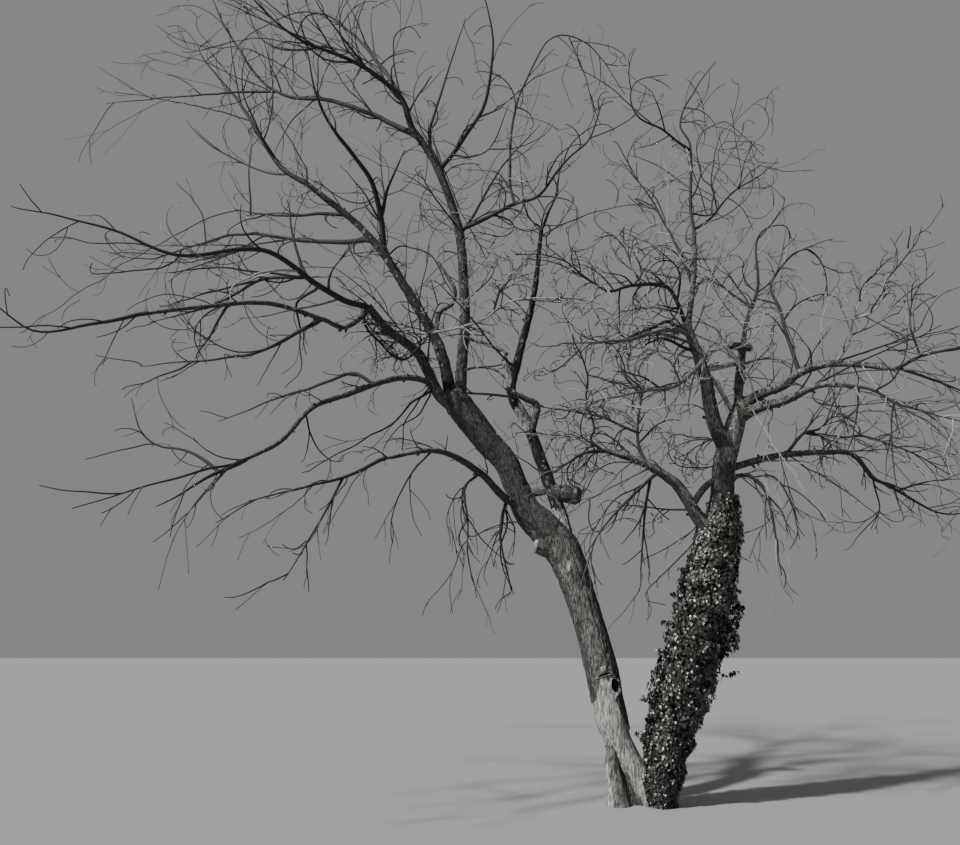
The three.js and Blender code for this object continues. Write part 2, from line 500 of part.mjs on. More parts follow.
const stemsOfMasses = {};
for (const [name, mass] of Object.entries(MASSES)) {
  stemsOfMasses[name] = mass.lines.map((arm, k) => {
    const stations = arm.line.map(vector);
    const made = limb(stations, ...arm.thick, k ? TWIG_SIDES : TWIG_SIDES + 1, 1);
    noteRuns(name, true, made.points, made.radii);
    return { stations, thick: arm.thick, made };
  });
}

function lengthOf(points) {
  return points.reduce((sum, p, i) => sum + (i ? p.distanceTo(points[i - 1]) : 0), 0);
}

for (const [name, mass] of Object.entries(MASSES)) {
  const draw = seeded(mass.seed);
  const arms = stemsOfMasses[name];
  const whole = arms.reduce((sum, arm) => sum + lengthOf(arm.stations), 0);
  const solids = [];
  const clears = [];
  for (const arm of arms) {
    solids.push(arm.made.solid);
    clears.push(arm.made.clear);
    const at = bendLine(arm.stations);
    const count = Math.max(1, Math.round((TWIGS_PER_MASS * lengthOf(arm.stations)) / whole));
    for (let i = 0; i < count; i++) {
      const share = 0.12 + (0.8 * (i + 0.7 * draw())) / count;
      const start = at(share);
      const way = at(share + 0.01).sub(at(share - 0.01)).normalize();
      const turn = i * GOLDEN_TURN + draw();
      const side = way.clone().cross(new THREE.Vector3(0.1, 0.2, 1)).normalize();
      side.applyAxisAngle(way, turn);
      const length = mass.reach * (0.65 + 0.6 * draw()) * (1 - 0.35 * share);
      const thick = Math.max(0.55 * (arm.thick[0] + (arm.thick[1] - arm.thick[0]) * share), TWIG_TIP + 3);
      const line = twigLine(draw, start, way, side, length, mass.fall);
      if (hasRoom(line, name, thick / 2)) {
        const twig = limb(line, thick, TWIG_TIP, TWIG_SIDES, 1);
        solids.push(twig.solid);
        clears.push(twig.clear);
      }
    }
  }
  const solid = clearOfPlaced(Manifold.union(solids));
  place(name, solid, Manifold.union(clears), "twig");
}

// Ivy: a lumpy sleeve round the stem, cut clear of it, with leaves that stand out of it.
function ivyAt(z) {
  const table = IVY_WIDTHS;
  let k = 0;
  while (k < table.length - 2 && table[k + 1][2] < z) {
    k += 1;
  }
  const share = (z - table[k][2]) / (table[k + 1][2] - table[k][2]);
  return table[k].map((value, i) => value + (table[k + 1][i] - value) * share);
}

function leaf(root, out, down, size) {
  const tip = root.clone().addScaledVector(out, size * IVY.leaf_length * 0.75);
  tip.addScaledVector(down, size * IVY.leaf_length * 0.66);
  const middle = root.clone().lerp(tip, 0.42);
  const along = tip.clone().sub(root).normalize();
  const across = along.clone().cross(out).normalize();
  const face = across.clone().cross(along).normalize();
  const half = (size * IVY.leaf_width) / 2;
  const left = middle.clone().addScaledVector(across, half);
  const right = middle.clone().addScaledVector(across, -half);
  const front = middle.clone().addScaledVector(face, IVY.leaf_thick);
  const back = middle.clone().addScaledVector(face, -IVY.leaf_thick / 2);
  const places = [root, tip, left, right, front, back];
  const faces = [[0, 2, 4], [0, 4, 3], [1, 4, 2], [1, 3, 4], [0, 5, 2], [0, 3, 5], [1, 2, 5], [1, 5, 3]];
  let solid = solidOf(places, faces);
  if (solid.volume() < 0) {
    solid = solidOf(places, faces.map((f) => [f[0], f[2], f[1]]));
  }
  return { solid, places };
}

const bandHeight = (IVY.top - IVY.foot) / IVY.bands;
IVY_NAMES.forEach((name, band) => {
  const draw = seeded(71 + band);
  const low = IVY.foot + band * bandHeight + (band ? CLEARANCE : 0);
  const high = IVY.foot + (band + 1) * bandHeight;
  const rings = [];
  for (let i = 0; i <= IVY.rings; i++) {
    const z = low + ((high - low) * i) / IVY.rings;
    const [x, y, , width] = ivyAt(z);
    const ring = [];
    for (let k = 0; k < IVY.sides; k++) {
      const turn = (2 * Math.PI * k) / IVY.sides;
      const out = (width / 2) * IVY.core_share * (1 + IVY.lump * (2 * draw() - 1));
      ring.push(new THREE.Vector3(x + out * Math.cos(turn), y + out * Math.sin(turn), z));
    }
    rings.push(ring);
  }
  const solids = [skin(rings)];
  const addLeaf = (root, bearing, size, lean) => {
    const out = new THREE.Vector3(Math.cos(bearing), Math.sin(bearing), 0);
    const down = new THREE.Vector3(-Math.sin(bearing) * lean, Math.cos(bearing) * lean, -1).normalize();
    const made = leaf(root, out, down, size);
    if (made.places.every((p) => p.z > low + 3 && p.z < high - 3)) {
      solids.push(made.solid);
    }
  };
  for (let i = 0; i < IVY.leaves; i++) {
    const z = low + ((high - low) * (i + 0.5)) / IVY.leaves;
    const [x, y, , width] = ivyAt(z);
    const bearing = i * GOLDEN_TURN + 0.5 * draw();
    const out = (width / 2) * IVY.core_share * 0.88;
    const root = new THREE.Vector3(x + out * Math.cos(bearing), y + out * Math.sin(bearing), z);
    addLeaf(root, bearing, 0.85 + 0.5 * draw(), draw() - 0.5);
  }
  const sprigs = IVY_SPRIGS.filter((sprig) => sprig[0] > low + 60 && sprig[0] < high - 60);
  for (const [z, bearing, length] of sprigs) {
    const [x, y, , width] = ivyAt(z);
    const out = new THREE.Vector3(Math.cos(bearing), Math.sin(bearing), 0.15);
    const start = new THREE.Vector3(x, y, z).addScaledVector(out, 0.35 * width);
    const line = [0, 0.5, 1].map((share) => start.clone().addScaledVector(out, share * length));
    solids.push(limb(line, 34, 14, TWIG_SIDES, 1).solid);
    for (let i = 0; i < 5; i++) {
      const root = line[0].clone().lerp(line[2], 0.5 + 0.11 * i);
      addLeaf(root, bearing + (i % 2 ? 0.9 : -0.9) * (1 - i / 5), 0.95, 0.4 * (i % 3) - 0.4);
    }
  }
  const solid = largest(clearOfPlaced(Manifold.union(solids)));
  place(name, solid, solid, "ivy");
});

const materials = {
  bark: new THREE.MeshStandardMaterial({ color: 0x5a5651, roughness: 0.9, metalness: 0 }),
  twig: new THREE.MeshStandardMaterial({ color: 0x6b6661, roughness: 0.85, metalness: 0 }),
  ivy: new THREE.MeshStandardMaterial({ color: 0x2f332d, roughness: 0.5, metalness: 0 }),
};

function meshOf(name, solid, kind) {
  const data = solid.getMesh();
  const geometry = new THREE.BufferGeometry();
  const places = new Float32Array(data.numVert * 3);
  for (let i = 0; i < data.numVert; i++) {
    for (let k = 0; k < 3; k++) {
      places[i * 3 + k] = data.vertProperties[i * data.numProp + k];
    }
  }
  geometry.setAttribute("position", new THREE.BufferAttribute(places, 3));
  geometry.setIndex(new THREE.BufferAttribute(new Uint32Array(data.triVerts), 1));
  geometry.computeVertexNormals();
  const mesh = new THREE.Mesh(geometry, materials[kind]);
  mesh.name = name;
  return mesh;
}

const group = new THREE.Group();
group.name = "dead_tree";
for (const piece of placed) {
  group.add(meshOf(piece.name, piece.solid, piece.kind));
}
export default group;
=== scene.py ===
import math
from collections import namedtuple

import bpy
import numpy as np
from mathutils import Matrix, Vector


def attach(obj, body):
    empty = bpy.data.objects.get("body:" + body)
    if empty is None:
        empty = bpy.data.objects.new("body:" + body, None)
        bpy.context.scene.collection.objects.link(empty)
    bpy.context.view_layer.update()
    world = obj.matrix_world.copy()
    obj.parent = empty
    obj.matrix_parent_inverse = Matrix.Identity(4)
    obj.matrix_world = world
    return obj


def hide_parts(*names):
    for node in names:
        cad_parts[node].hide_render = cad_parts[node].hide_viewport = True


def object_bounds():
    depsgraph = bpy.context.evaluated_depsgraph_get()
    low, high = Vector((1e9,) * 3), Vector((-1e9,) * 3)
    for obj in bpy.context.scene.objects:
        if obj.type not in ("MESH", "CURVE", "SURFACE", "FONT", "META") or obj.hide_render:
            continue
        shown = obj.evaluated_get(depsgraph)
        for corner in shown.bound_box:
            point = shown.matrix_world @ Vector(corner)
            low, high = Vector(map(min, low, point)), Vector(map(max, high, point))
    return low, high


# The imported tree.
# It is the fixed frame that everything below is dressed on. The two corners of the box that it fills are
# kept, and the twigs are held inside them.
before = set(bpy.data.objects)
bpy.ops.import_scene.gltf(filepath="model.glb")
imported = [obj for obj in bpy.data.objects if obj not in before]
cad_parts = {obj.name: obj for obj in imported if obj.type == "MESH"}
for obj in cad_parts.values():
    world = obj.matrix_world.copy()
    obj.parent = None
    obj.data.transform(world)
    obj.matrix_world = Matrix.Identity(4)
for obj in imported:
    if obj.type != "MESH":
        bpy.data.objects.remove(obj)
cad_low, cad_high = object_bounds()

# The foot and the two stems.
# Dead wood in rough bark, grown as two stems from one shared foot that is cut flat at the ground.
# The left stem has lost its bark low down, where pale wood shows with a knot hole and a split.
MM = 0.001
# Each limb is a row of bends: how far across, away and up each one lies, and how wide it is there.
LEFT_STEM = [
    (150, 40, -60, 300), (50, 45, 130, 270), (-50, 55, 270, 250), (-140, 65, 430, 254),
    (-230, 75, 600, 286), (-290, 85, 790, 335), (-320, 95, 1000, 330), (-380, 120, 1350, 330),
    (-460, 150, 1700, 305), (-590, 190, 2160, 325), (-730, 230, 2540, 385), (-920, 260, 2780, 365),
    (-1100, 290, 2970, 315), (-1220, 310, 3240, 262), (-1340, 330, 3540, 264),
    (-1540, 350, 3780, 290), (-1740, 370, 4050, 304), (-1880, 380, 4240, 320), (-1950, 380, 4360, 240),
]
RIGHT_STEM = [
    (165, -40, -60, 220), (190, -60, 380, 215), (305, -80, 780, 225), (455, -110, 1190, 235),
    (715, -150, 1980, 246), (920, -160, 2810, 245), (1010, -150, 3410, 230),
    (1090, -140, 3640, 220), (1170, -120, 3850, 205), (1270, -100, 4090, 170),
]
FOOT_WEB = [(-165, 110, 580, 80), (-160, 115, 400, 150), (-145, 120, 200, 220), (-130, 125, -60, 300)]
LEFT_PRONG = [(-290, 30, 690, 90), (-312, 10, 370, 128), (-285, 0, 180, 160), (-262, -10, -60, 212)]
ELBOW_STUB = [(-790, 235, 2540, 240), (-920, 215, 2570, 215), (-1020, 200, 2590, 170)]
SIDE_STUB = [(-1140, 300, 3170, 100), (-840, 250, 3215, 90)]
LOG_STUB = [(-830, 250, 3190, 170), (-700, 235, 3170, 200), (-550, 215, 3140, 215)]
SPLIT_KNOB = [(-360, 20, 1286, 100), (-364, -38, 1294, 86), (-368, -68, 1298, 50)]
FLARE_SWELL = 0.22
FLARE_HEIGHT = 130
FURROW_WIDTH = 30
FURROW_LENGTH = 170
FURROW_SHARPNESS = 3.2
# How far round the bare wood reaches at each height, and how high it reaches from each side.
BARE_EDGE = [560, 640, 780, 900, 1000, 1090, 1230], [2.0, 1.1, 0.6, 0.30, 0.28, 0.72, 0.75]
BARE_TOP = [-0.9, -0.45, -0.4], [960, 1150, 1215]
BARE_ALL_ROUND_BELOW = 560
BARK_AT_HEEL_BELOW = 540
BARE_SINK = 7
# The worn patches on the left stem's front, partly painted highlight, start at this height.
WORN_AND_LIT_ABOVE = 1406
# Painted shade on the left stem: along its edges above the first height, all over above the second, and in a
# painted shadow band of this middle and half height.
SHADED_EDGES_ABOVE = 660
SHADED_ABOVE = 2640
SHADED_BAND = 2205
SHADED_BAND_HALF = 75
# A painted highlight on the left stem below the elbow: its middle across and up, and its half width and
# height.
HIGHLIGHT_SPOT = (-690, 2350)
HIGHLIGHT_SIZE = (34, 62)
# The knot hole and the split: centre, half width and height, bow, tilt and depth.
OPENINGS = [((-250, -60, 1130), (40, 68), 0, -14, 60), ((-362, -60, 1230), (62, 15), 10, 20, 46)]
OPENING_REACH = 190
OPENING_LIP = 14
OPENING_HEIGHTS = (1010, 1310)
RIGHT_FORK_ABOVE = 3400
GRAIN_CELLS = 48
# The kinds of skin on a limb, in the order of its piece's materials.
# Of these, the worn bark also serves as a painted highlight on sunlit sides, and the darker bark last in the
# list is painted shade.
PLAIN, BARE, HOLE, WORN_AND_LIT, SHADED = range(5)
grain = np.random.default_rng(5).random((GRAIN_CELLS, GRAIN_CELLS, GRAIN_CELLS))


def noise(places):
    """Smooth random value from 0 to 1 at each place, one lump per unit."""
    cell = np.floor(places).astype(int)
    share = places - cell
    share = share * share * (3 - 2 * share)
    total = np.zeros(places.shape[:-1])
    for corner in range(8):
        step = np.array([corner & 1, corner >> 1 & 1, corner >> 2])
        weight = np.prod(np.where(step, share, 1 - share), axis=-1)
        at = (cell + step) % GRAIN_CELLS
        total += weight * grain[at[..., 0], at[..., 1], at[..., 2]]
    return total


def lumps(spots, size, shift=0):
    """Noise in lumps of a real size. Each use is shifted to a part of the grain of its own."""
    return noise(spots / np.array(size) + shift)


def unit(way):
    return way / np.linalg.norm(way)


def bend_line(stations):
    """A line through its stations, rounded at each, as a function of the share along it."""
    spots = np.array(stations, dtype=float)
    last = len(spots) - 1
    ways = spots[np.minimum(np.arange(last + 1) + 1, last)] - spots[np.maximum(np.arange(last + 1) - 1, 0)]
    ways /= np.linalg.norm(ways, axis=1)[:, None]

    def at(share):
        part = min(max(share, 0), 1) * last
        i = min(int(part), last - 1)
        t = part - i
        reach = np.linalg.norm(spots[i + 1] - spots[i])
        place = spots[i] * (1 + t * t * (2 * t - 3)) + spots[i + 1] * t * t * (3 - 2 * t)
        place = place + ways[i] * reach * t * (1 - t) ** 2
        return place + ways[i + 1] * reach * t * t * (t - 1)

    return at


def along(line):
    """How far along a line each of its points lies."""
    return np.concatenate([[0], np.cumsum(np.linalg.norm(np.diff(line, axis=0), axis=1))])


def even_line(stations, step):
    """Points about one step apart along the rounded line, the station share at each, and its length."""
    spots = np.array([station[:3] for station in stations], dtype=float)
    at = bend_line(spots)
    shares = np.linspace(0, 1, 12 * len(spots))
    far = along(np.array([at(share) for share in shares]))
    count = max(3, int(far[-1] / step) + 1)
    shares = np.interp(np.linspace(0, far[-1], count), far, shares)
    return np.array([at(share) for share in shares]), shares, far[-1]


def rings(lines, around):
    """Outward directions of a ring round each point of many lines, without twist between them."""
    ways = np.gradient(lines, axis=1)
    ways /= np.linalg.norm(ways, axis=2)[..., None]
    turn = 2 * np.pi * np.arange(around)[None, :, None] / around
    side = np.broadcast_to([0.31, 0.87, 0.12], (len(lines), 3))
    outs = np.empty((*ways.shape[:2], around, 3))
    for i in range(ways.shape[1]):
        way = ways[:, i]
        side = side - way * np.sum(side * way, axis=1)[:, None]
        side = side / np.linalg.norm(side, axis=1)[:, None]
        outs[:, i] = side[:, None] * np.cos(turn) + np.cross(way, side)[:, None] * np.sin(turn)
    return outs


class Pile:
    """Vertices and faces gathered from many shapes, to become one joined mesh."""

    def __init__(self):
        self.places, self.corners, self.counts, self.slots = [], [], [], []
        self.first = self.size = 0

    def add(self, places, faces, slot=PLAIN):
        places = np.reshape(places, (-1, 3))
        self.places.append(places)
        self.first = self.size
        self.size += len(places)
        self.add_faces(faces, slot)

    def add_faces(self, faces, slot):
        """More faces between the vertices that were added last."""
        self.corners.append((faces + self.first).ravel())
        self.counts.append(np.full(len(faces), faces.shape[1]))
        self.slots.append(np.broadcast_to(slot, (len(faces),)))

    def piece(self, name, materials, smooth=True):
        corners, counts, slots = [
            np.concatenate(gathered).astype(np.int32) for gathered in (self.corners, self.counts, self.slots)]
        mesh = bpy.data.meshes.new(name)
        mesh.vertices.add(self.size)
        mesh.vertices.foreach_set("co", (np.concatenate(self.places) * MM).astype(np.float32).ravel())
        mesh.loops.add(len(corners))
        mesh.loops.foreach_set("vertex_index", corners)
        for material in materials:
            mesh.materials.append(material)
        mesh.polygons.add(len(counts))
        starts = (np.cumsum(counts) - counts).astype(np.int32)
        smooths = np.full(len(counts), smooth)
        for key, values in zip(("loop_start", "loop_total", "material_index", "use_smooth"),
                               (starts, counts, slots, smooths)):
            mesh.polygons.foreach_set(key, values)
        mesh.update(calc_edges=True)
        mesh.validate()
        piece = bpy.data.objects.new(name, mesh)
        bpy.context.scene.collection.objects.link(piece)
        return piece


def wall_faces(count, around):
    """Four-cornered faces between neighbouring rings of a limb."""
    a = np.arange(count - 1)[:, None] * around + np.arange(around)[None, :]
    b = np.arange(count - 1)[:, None] * around + (np.arange(around)[None, :] + 1) % around
    return np.stack([a, b, b + around, a + around], axis=-1).reshape(-1, 4)


def bark_relief(outs, far, radius, depth):
    """Height of the bark: long furrows that run with the limb, broken across, and fine grain."""
    across = outs @ np.array([[1.0, 0.0], [0.0, 1.0], [0.35, 0.35]]) * radius / FURROW_WIDTH
    spots = np.dstack([across, np.broadcast_to(far[:, None] / FURROW_LENGTH, across.shape[:2])])
    furrow = np.clip(1 - np.abs(2 * noise(spots) - 1) * FURROW_SHARPNESS, 0, 1)
    plate = noise(spots * np.array([0.6, 0.6, 2.6]) + 7)
    fine = noise(spots * np.array([2.7, 2.7, 2.2]) + 19)
    return depth * (0.55 * plate + 0.45 * fine - 0.95 * furrow)


def grained(name, spread, scale, detail, bump, depth, rough, shine):
    """A material with a fine raised grain, with its shader and the layout that its grain follows."""
    material = bpy.data.materials.new(name)
    material.use_nodes = True
    nodes, links = material.node_tree.nodes, material.node_tree.links
    shader = nodes["Principled BSDF"]
    shader.inputs["Roughness"].default_value = rough
    shader.inputs["Specular IOR Level"].default_value = shine
    place = nodes.new("ShaderNodeTexCoord")
    layout = nodes.new("ShaderNodeMapping")
    layout.inputs["Scale"].default_value = spread
    fine = nodes.new("ShaderNodeTexNoise")
    fine.inputs["Scale"].default_value = scale
    fine.inputs["Detail"].default_value = detail
    raised = nodes.new("ShaderNodeBump")
    raised.inputs["Strength"].default_value = bump
    raised.inputs["Distance"].default_value = depth
    links.new(place.outputs["Object"], layout.inputs["Vector"])
    links.new(layout.outputs["Vector"], fine.inputs["Vector"])
    links.new(fine.outputs["Fac"], raised.inputs["Height"])
    links.new(raised.outputs["Normal"], shader.inputs["Normal"])
    return material, shader, layout


def weathered(name, low, high, scale, stretch, rough, bump):
    """Two tones in streaks and blotches, with a fine raised grain."""
    material, shader, layout = grained(
        name, (scale, scale, scale * stretch), scale=3.7, detail=4, bump=bump, depth=0.006, rough=rough,
        shine=0.3)
    nodes, links = material.node_tree.nodes, material.node_tree.links
    blotch = nodes.new("ShaderNodeTexNoise")
    blotch.inputs["Scale"].default_value = 1
    blotch.inputs["Detail"].default_value = 6
    blotch.inputs["Roughness"].default_value = 0.62
    tones = nodes.new("ShaderNodeValToRGB")
    for element, position, tone in zip(tones.color_ramp.elements, (0.42, 0.61), (low, high)):
        element.position = position
        element.color = (*tone, 1)
    links.new(layout.outputs["Vector"], blotch.inputs["Vector"])
    links.new(blotch.outputs["Fac"], tones.inputs["Fac"])
    links.new(tones.outputs["Color"], shader.inputs["Base Color"])
    return material


bark = weathered("bark", (0.024, 0.023, 0.021), (0.19, 0.183, 0.171), 88, 0.19, 0.92, 0.9)
bare_wood = weathered("bare_wood", (0.13, 0.125, 0.116), (0.50, 0.485, 0.455), 60, 0.2, 0.75, 1.0)
# Near-black inside of the knot hole and the split: painted shade in the recess.
hollow = weathered("hollow", (0.012, 0.011, 0.010), (0.024, 0.023, 0.021), 20, 1, 0.95, 0.3)
# Worn grey bark, used also as a painted highlight on sides that face the sun.
worn_and_lit_bark = weathered("worn_and_lit_bark", (0.048, 0.046, 0.043), (0.23, 0.222, 0.21), 74, 0.18, 0.88, 0.8)
# Darker bark that is painted shade: on the stems where the crown shades them and along the left stem's edges,
# and as the boughs' plain bark.
shaded_bark = weathered("shaded_bark", (0.018, 0.0175, 0.016), (0.105, 0.101, 0.095), 88, 0.19, 0.92, 0.9)


def is_bare(spots, outs):
    """Where the bark is gone from the left stem."""
    z, aside, facing = spots[..., 2], outs[..., 0], -outs[..., 1]
    ragged = lumps(spots, (55, 55, 130)) - 0.5
    torn = lumps(spots, (24, 24, 420), 31) - 0.5
    edge = np.interp(z, *BARE_EDGE) + 0.35 * ragged
    top = np.interp(aside, *BARE_TOP) + 20 * ragged + 70 * torn
    bare = (z < top) & (aside < edge) & (facing > -0.55 + ragged)
    bare |= (z < BARE_ALL_ROUND_BELOW + 120 * ragged) & (facing > -0.45 + ragged)
    return bare & ((z > BARK_AT_HEEL_BELOW + 60 * ragged) | (aside > -0.8 + 0.4 * ragged))


def is_worn_and_lit(spots, outs):
    """Paler places up the front of the left stem, partly where the bark is thin and rubbed and partly painted
    highlight where the sun falls.
    """
    wear_and_light = lumps(spots, (34, 34, 230), 3)
    return (spots[..., 2] > WORN_AND_LIT_ABOVE) & (outs[..., 1] < -0.1) & (wear_and_light > 0.70)


def is_shaded(spots, outs):
    """Painted shade on the left stem's bark: along both edges, a painted shadow band below the elbow, and all
    of it higher up in the crown's shade.
    """
    z, aside = spots[..., 2], outs[..., 0]
    ragged = lumps(spots, (45, 45, 160), 53) - 0.5
    edges = (aside < -0.76 + 0.5 * ragged) | (aside > 0.40 + 0.5 * ragged)
    band = (np.abs(z - SHADED_BAND) < SHADED_BAND_HALF + 110 * ragged) & (aside > -0.5 + ragged)
    return (edges & (z > SHADED_EDGES_ABOVE)) | band | (z > SHADED_ABOVE + 420 * ragged)


def left_stem_skin(spots, outs, rise):
    """Bark with worn patches that are partly painted highlight, painted shade and a painted highlight, the
    bare wood, and the knot hole and the split in it, painted dark inside as shade.
    """
    bare = is_bare(spots, outs)
    streaks = lumps(spots, (16, 16, 120), 11) - 0.5
    rise = np.where(bare, -BARE_SINK + 5 * streaks, rise + 2)
    # Painted shade first, over the worn patches that are partly painted highlight.
    slots = np.where(is_shaded(spots, outs), SHADED, np.where(is_worn_and_lit(spots, outs), WORN_AND_LIT, PLAIN))
    # A painted highlight, in pale wood, on the front of the stem below the elbow.
    off = (spots[..., [0, 2]] - np.array(HIGHLIGHT_SPOT)) / np.array(HIGHLIGHT_SIZE)
    wear_and_light = (np.hypot(off[..., 0], off[..., 1]) + streaks < 1) & (outs[..., 1] < 0)
    slots = np.where(bare | wear_and_light, BARE, slots)
    for centre, (wide, high), bow, tilt, depth in OPENINGS:
        off = (spots - np.array(centre)) / np.array([wide, OPENING_REACH, high])
        off[..., 2] -= bow / high * (1 - off[..., 0] ** 2) + tilt / high * off[..., 0]
        near = np.linalg.norm(off, axis=-1)
        rise = np.where(near < 1, -depth * (1 - near ** 4), rise)
        rise = np.where((near >= 1) & (near < 1.5), rise + OPENING_LIP * (1.5 - near) * 2, rise)
        # The openings are painted near black inside as shade, with pale wood round their lips.
        slots = np.where(near < 1, HOLE, np.where(near < 1.35, BARE, slots))
    return rise, slots


def right_stem_skin(spots, outs, rise):
    """Painted shade on the bark behind and just above the ivy, and worn and bare places on the sunward side
    of the fork above it, partly painted highlight.
    """
    x, y = outs[..., 0], outs[..., 1]
    wear_and_light = lumps(spots, (40, 40, 200), 23)
    # Worn and bare patches on the left-front, where the sun falls, partly painted highlight.
    slots = np.where((wear_and_light > 0.34) & (x < 0.55) & (y < 0.3), WORN_AND_LIT, PLAIN)
    slots = np.where((wear_and_light > 0.60) & (x < 0.25) & (y < 0.2), BARE, slots)
    # Painted shade on the stem below the fork.
    return rise, np.where(spots[..., 2] < RIGHT_FORK_ABOVE + 220 * (wear_and_light - 0.5), SHADED, slots)


def prong_skin(spots, outs, rise):
    """Pale bare wood on the prong's left side, partly torn wood and partly a painted highlight where the sun
    falls, and worn bark on the other.
    """
    torn = lumps(spots, (30, 30, 150), 41) - 0.5
    bare = outs[..., 0] < -0.5 + 0.9 * torn - 0.0012 * (spots[..., 2] - 160)
    return rise, np.where(bare, BARE, WORN_AND_LIT)


# Paler worn bark in patches on the log's upper side, partly a painted highlight from the sun above;
# painted-shade bark everywhere else.
def log_skin(spots, outs, rise):
    return rise, np.where((outs[..., 2] > 0.1) & (lumps(spots, 26, 37) > 0.46), WORN_AND_LIT, SHADED)


def bare_skin(spots, outs, rise):
    return rise, np.where(lumps(spots, 34, 43) > 0.36, BARE, WORN_AND_LIT)


def plain_skin(spots, outs, rise):
    return rise, np.full(rise.shape, PLAIN)


def close_end(pile, ring, out, radius, slot, flip):
    """The rounded end of a limb, or the flat cut where it stands on the ground."""
    around = len(ring)
    inner = ring.mean(axis=0)
    on_ground = inner[2] <= 5
    lift = 0 if on_ground else (0.25 if radius < 100 else 0.45) * radius
    middle = inner + (ring - inner) * 0.55 + out * lift + out * 5 * (lumps(ring, 14)[:, None] - 0.5)
    cap = np.concatenate([ring, middle, [inner + out * lift * 1.1]])
    cap[:, 2] = np.maximum(cap[:, 2], 0)
    band = wall_faces(2, around)
    fan = np.stack([band[:, 3], band[:, 2], np.full(around, 2 * around)], axis=-1)
    for faces in (band, fan):
        pile.add(cap, faces[:, ::-1] if flip else faces, slot)


def add_limb(pile, stations, step, around, depth, widths=None, skin=plain_skin, end_slot=BARE, flare=False,
             swell=0, close=None):
    """One limb with its relief. Widths come from its stations, or taper from root to tip."""
    line, shares, _ = even_line(stations, step)
    if close:
        spaced = np.arange(len(line))
        near = (line[:, 2] > close[0]) & (line[:, 2] < close[1])
        closer = np.sort(np.concatenate([spaced, spaced[near] + 0.34, spaced[near] + 0.67]))
        line = np.stack([np.interp(closer, spaced, line[:, k]) for k in range(3)], axis=1)
        shares = np.interp(closer, spaced, shares)
    if widths is None:
        radii = np.interp(shares * (len(stations) - 1), range(len(stations)), [s[3] for s in stations]) / 2
    else:
        radii = np.linspace(*widths, len(line)) / 2
    far = along(line)
    radii = radii * (1 + swell * np.exp(-far / (1.2 * radii[0])))
    if flare:
        radii = radii * (1 + FLARE_SWELL * np.exp(-np.maximum(line[:, 2], 0) / FLARE_HEIGHT))
    outs = rings(line[None], around)[0]
    spots = line[:, None] + outs * radii[:, None, None]
    rise, slots = skin(spots, outs, bark_relief(outs, far, np.mean(radii), depth))
    spots = spots + outs * rise[..., None]
    spots[..., 2] = np.maximum(spots[..., 2], 0)
    pile.add(spots, wall_faces(len(line), around), np.minimum(slots[:-1], slots[1:]).reshape(-1))
    ways = np.gradient(line, axis=0)
    close_end(pile, spots[0], -unit(ways[0]), radii[0], end_slot, flip=True)
    close_end(pile, spots[-1], unit(ways[-1]), radii[-1], end_slot, flip=False)


stems = Pile()
add_limb(stems, LEFT_STEM, step=13, around=132, depth=14, skin=left_stem_skin, end_slot=PLAIN, flare=True,
         close=OPENING_HEIGHTS)
add_limb(stems, RIGHT_STEM, step=20, around=84, depth=10, skin=right_stem_skin, end_slot=PLAIN, flare=True)
add_limb(stems, LEFT_PRONG, step=14, around=56, depth=9, skin=prong_skin, end_slot=WORN_AND_LIT, flare=True)
add_limb(stems, FOOT_WEB, step=16, around=56, depth=12, end_slot=PLAIN)
add_limb(stems, ELBOW_STUB, step=12, around=64, depth=12)
add_limb(stems, SIDE_STUB, step=14, around=36, depth=6)
add_limb(stems, SPLIT_KNOB, step=7, around=24, depth=9, skin=bare_skin)
add_limb(stems, LOG_STUB, step=12, around=64, depth=10, skin=log_skin, end_slot=SHADED)
stem_piece = stems.piece("stems", [bark, bare_wood, hollow, worn_and_lit_bark, shaded_bark])
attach(stem_piece, "root")
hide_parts("trunk_foot", "left_stem", "right_stem", "log_stub")

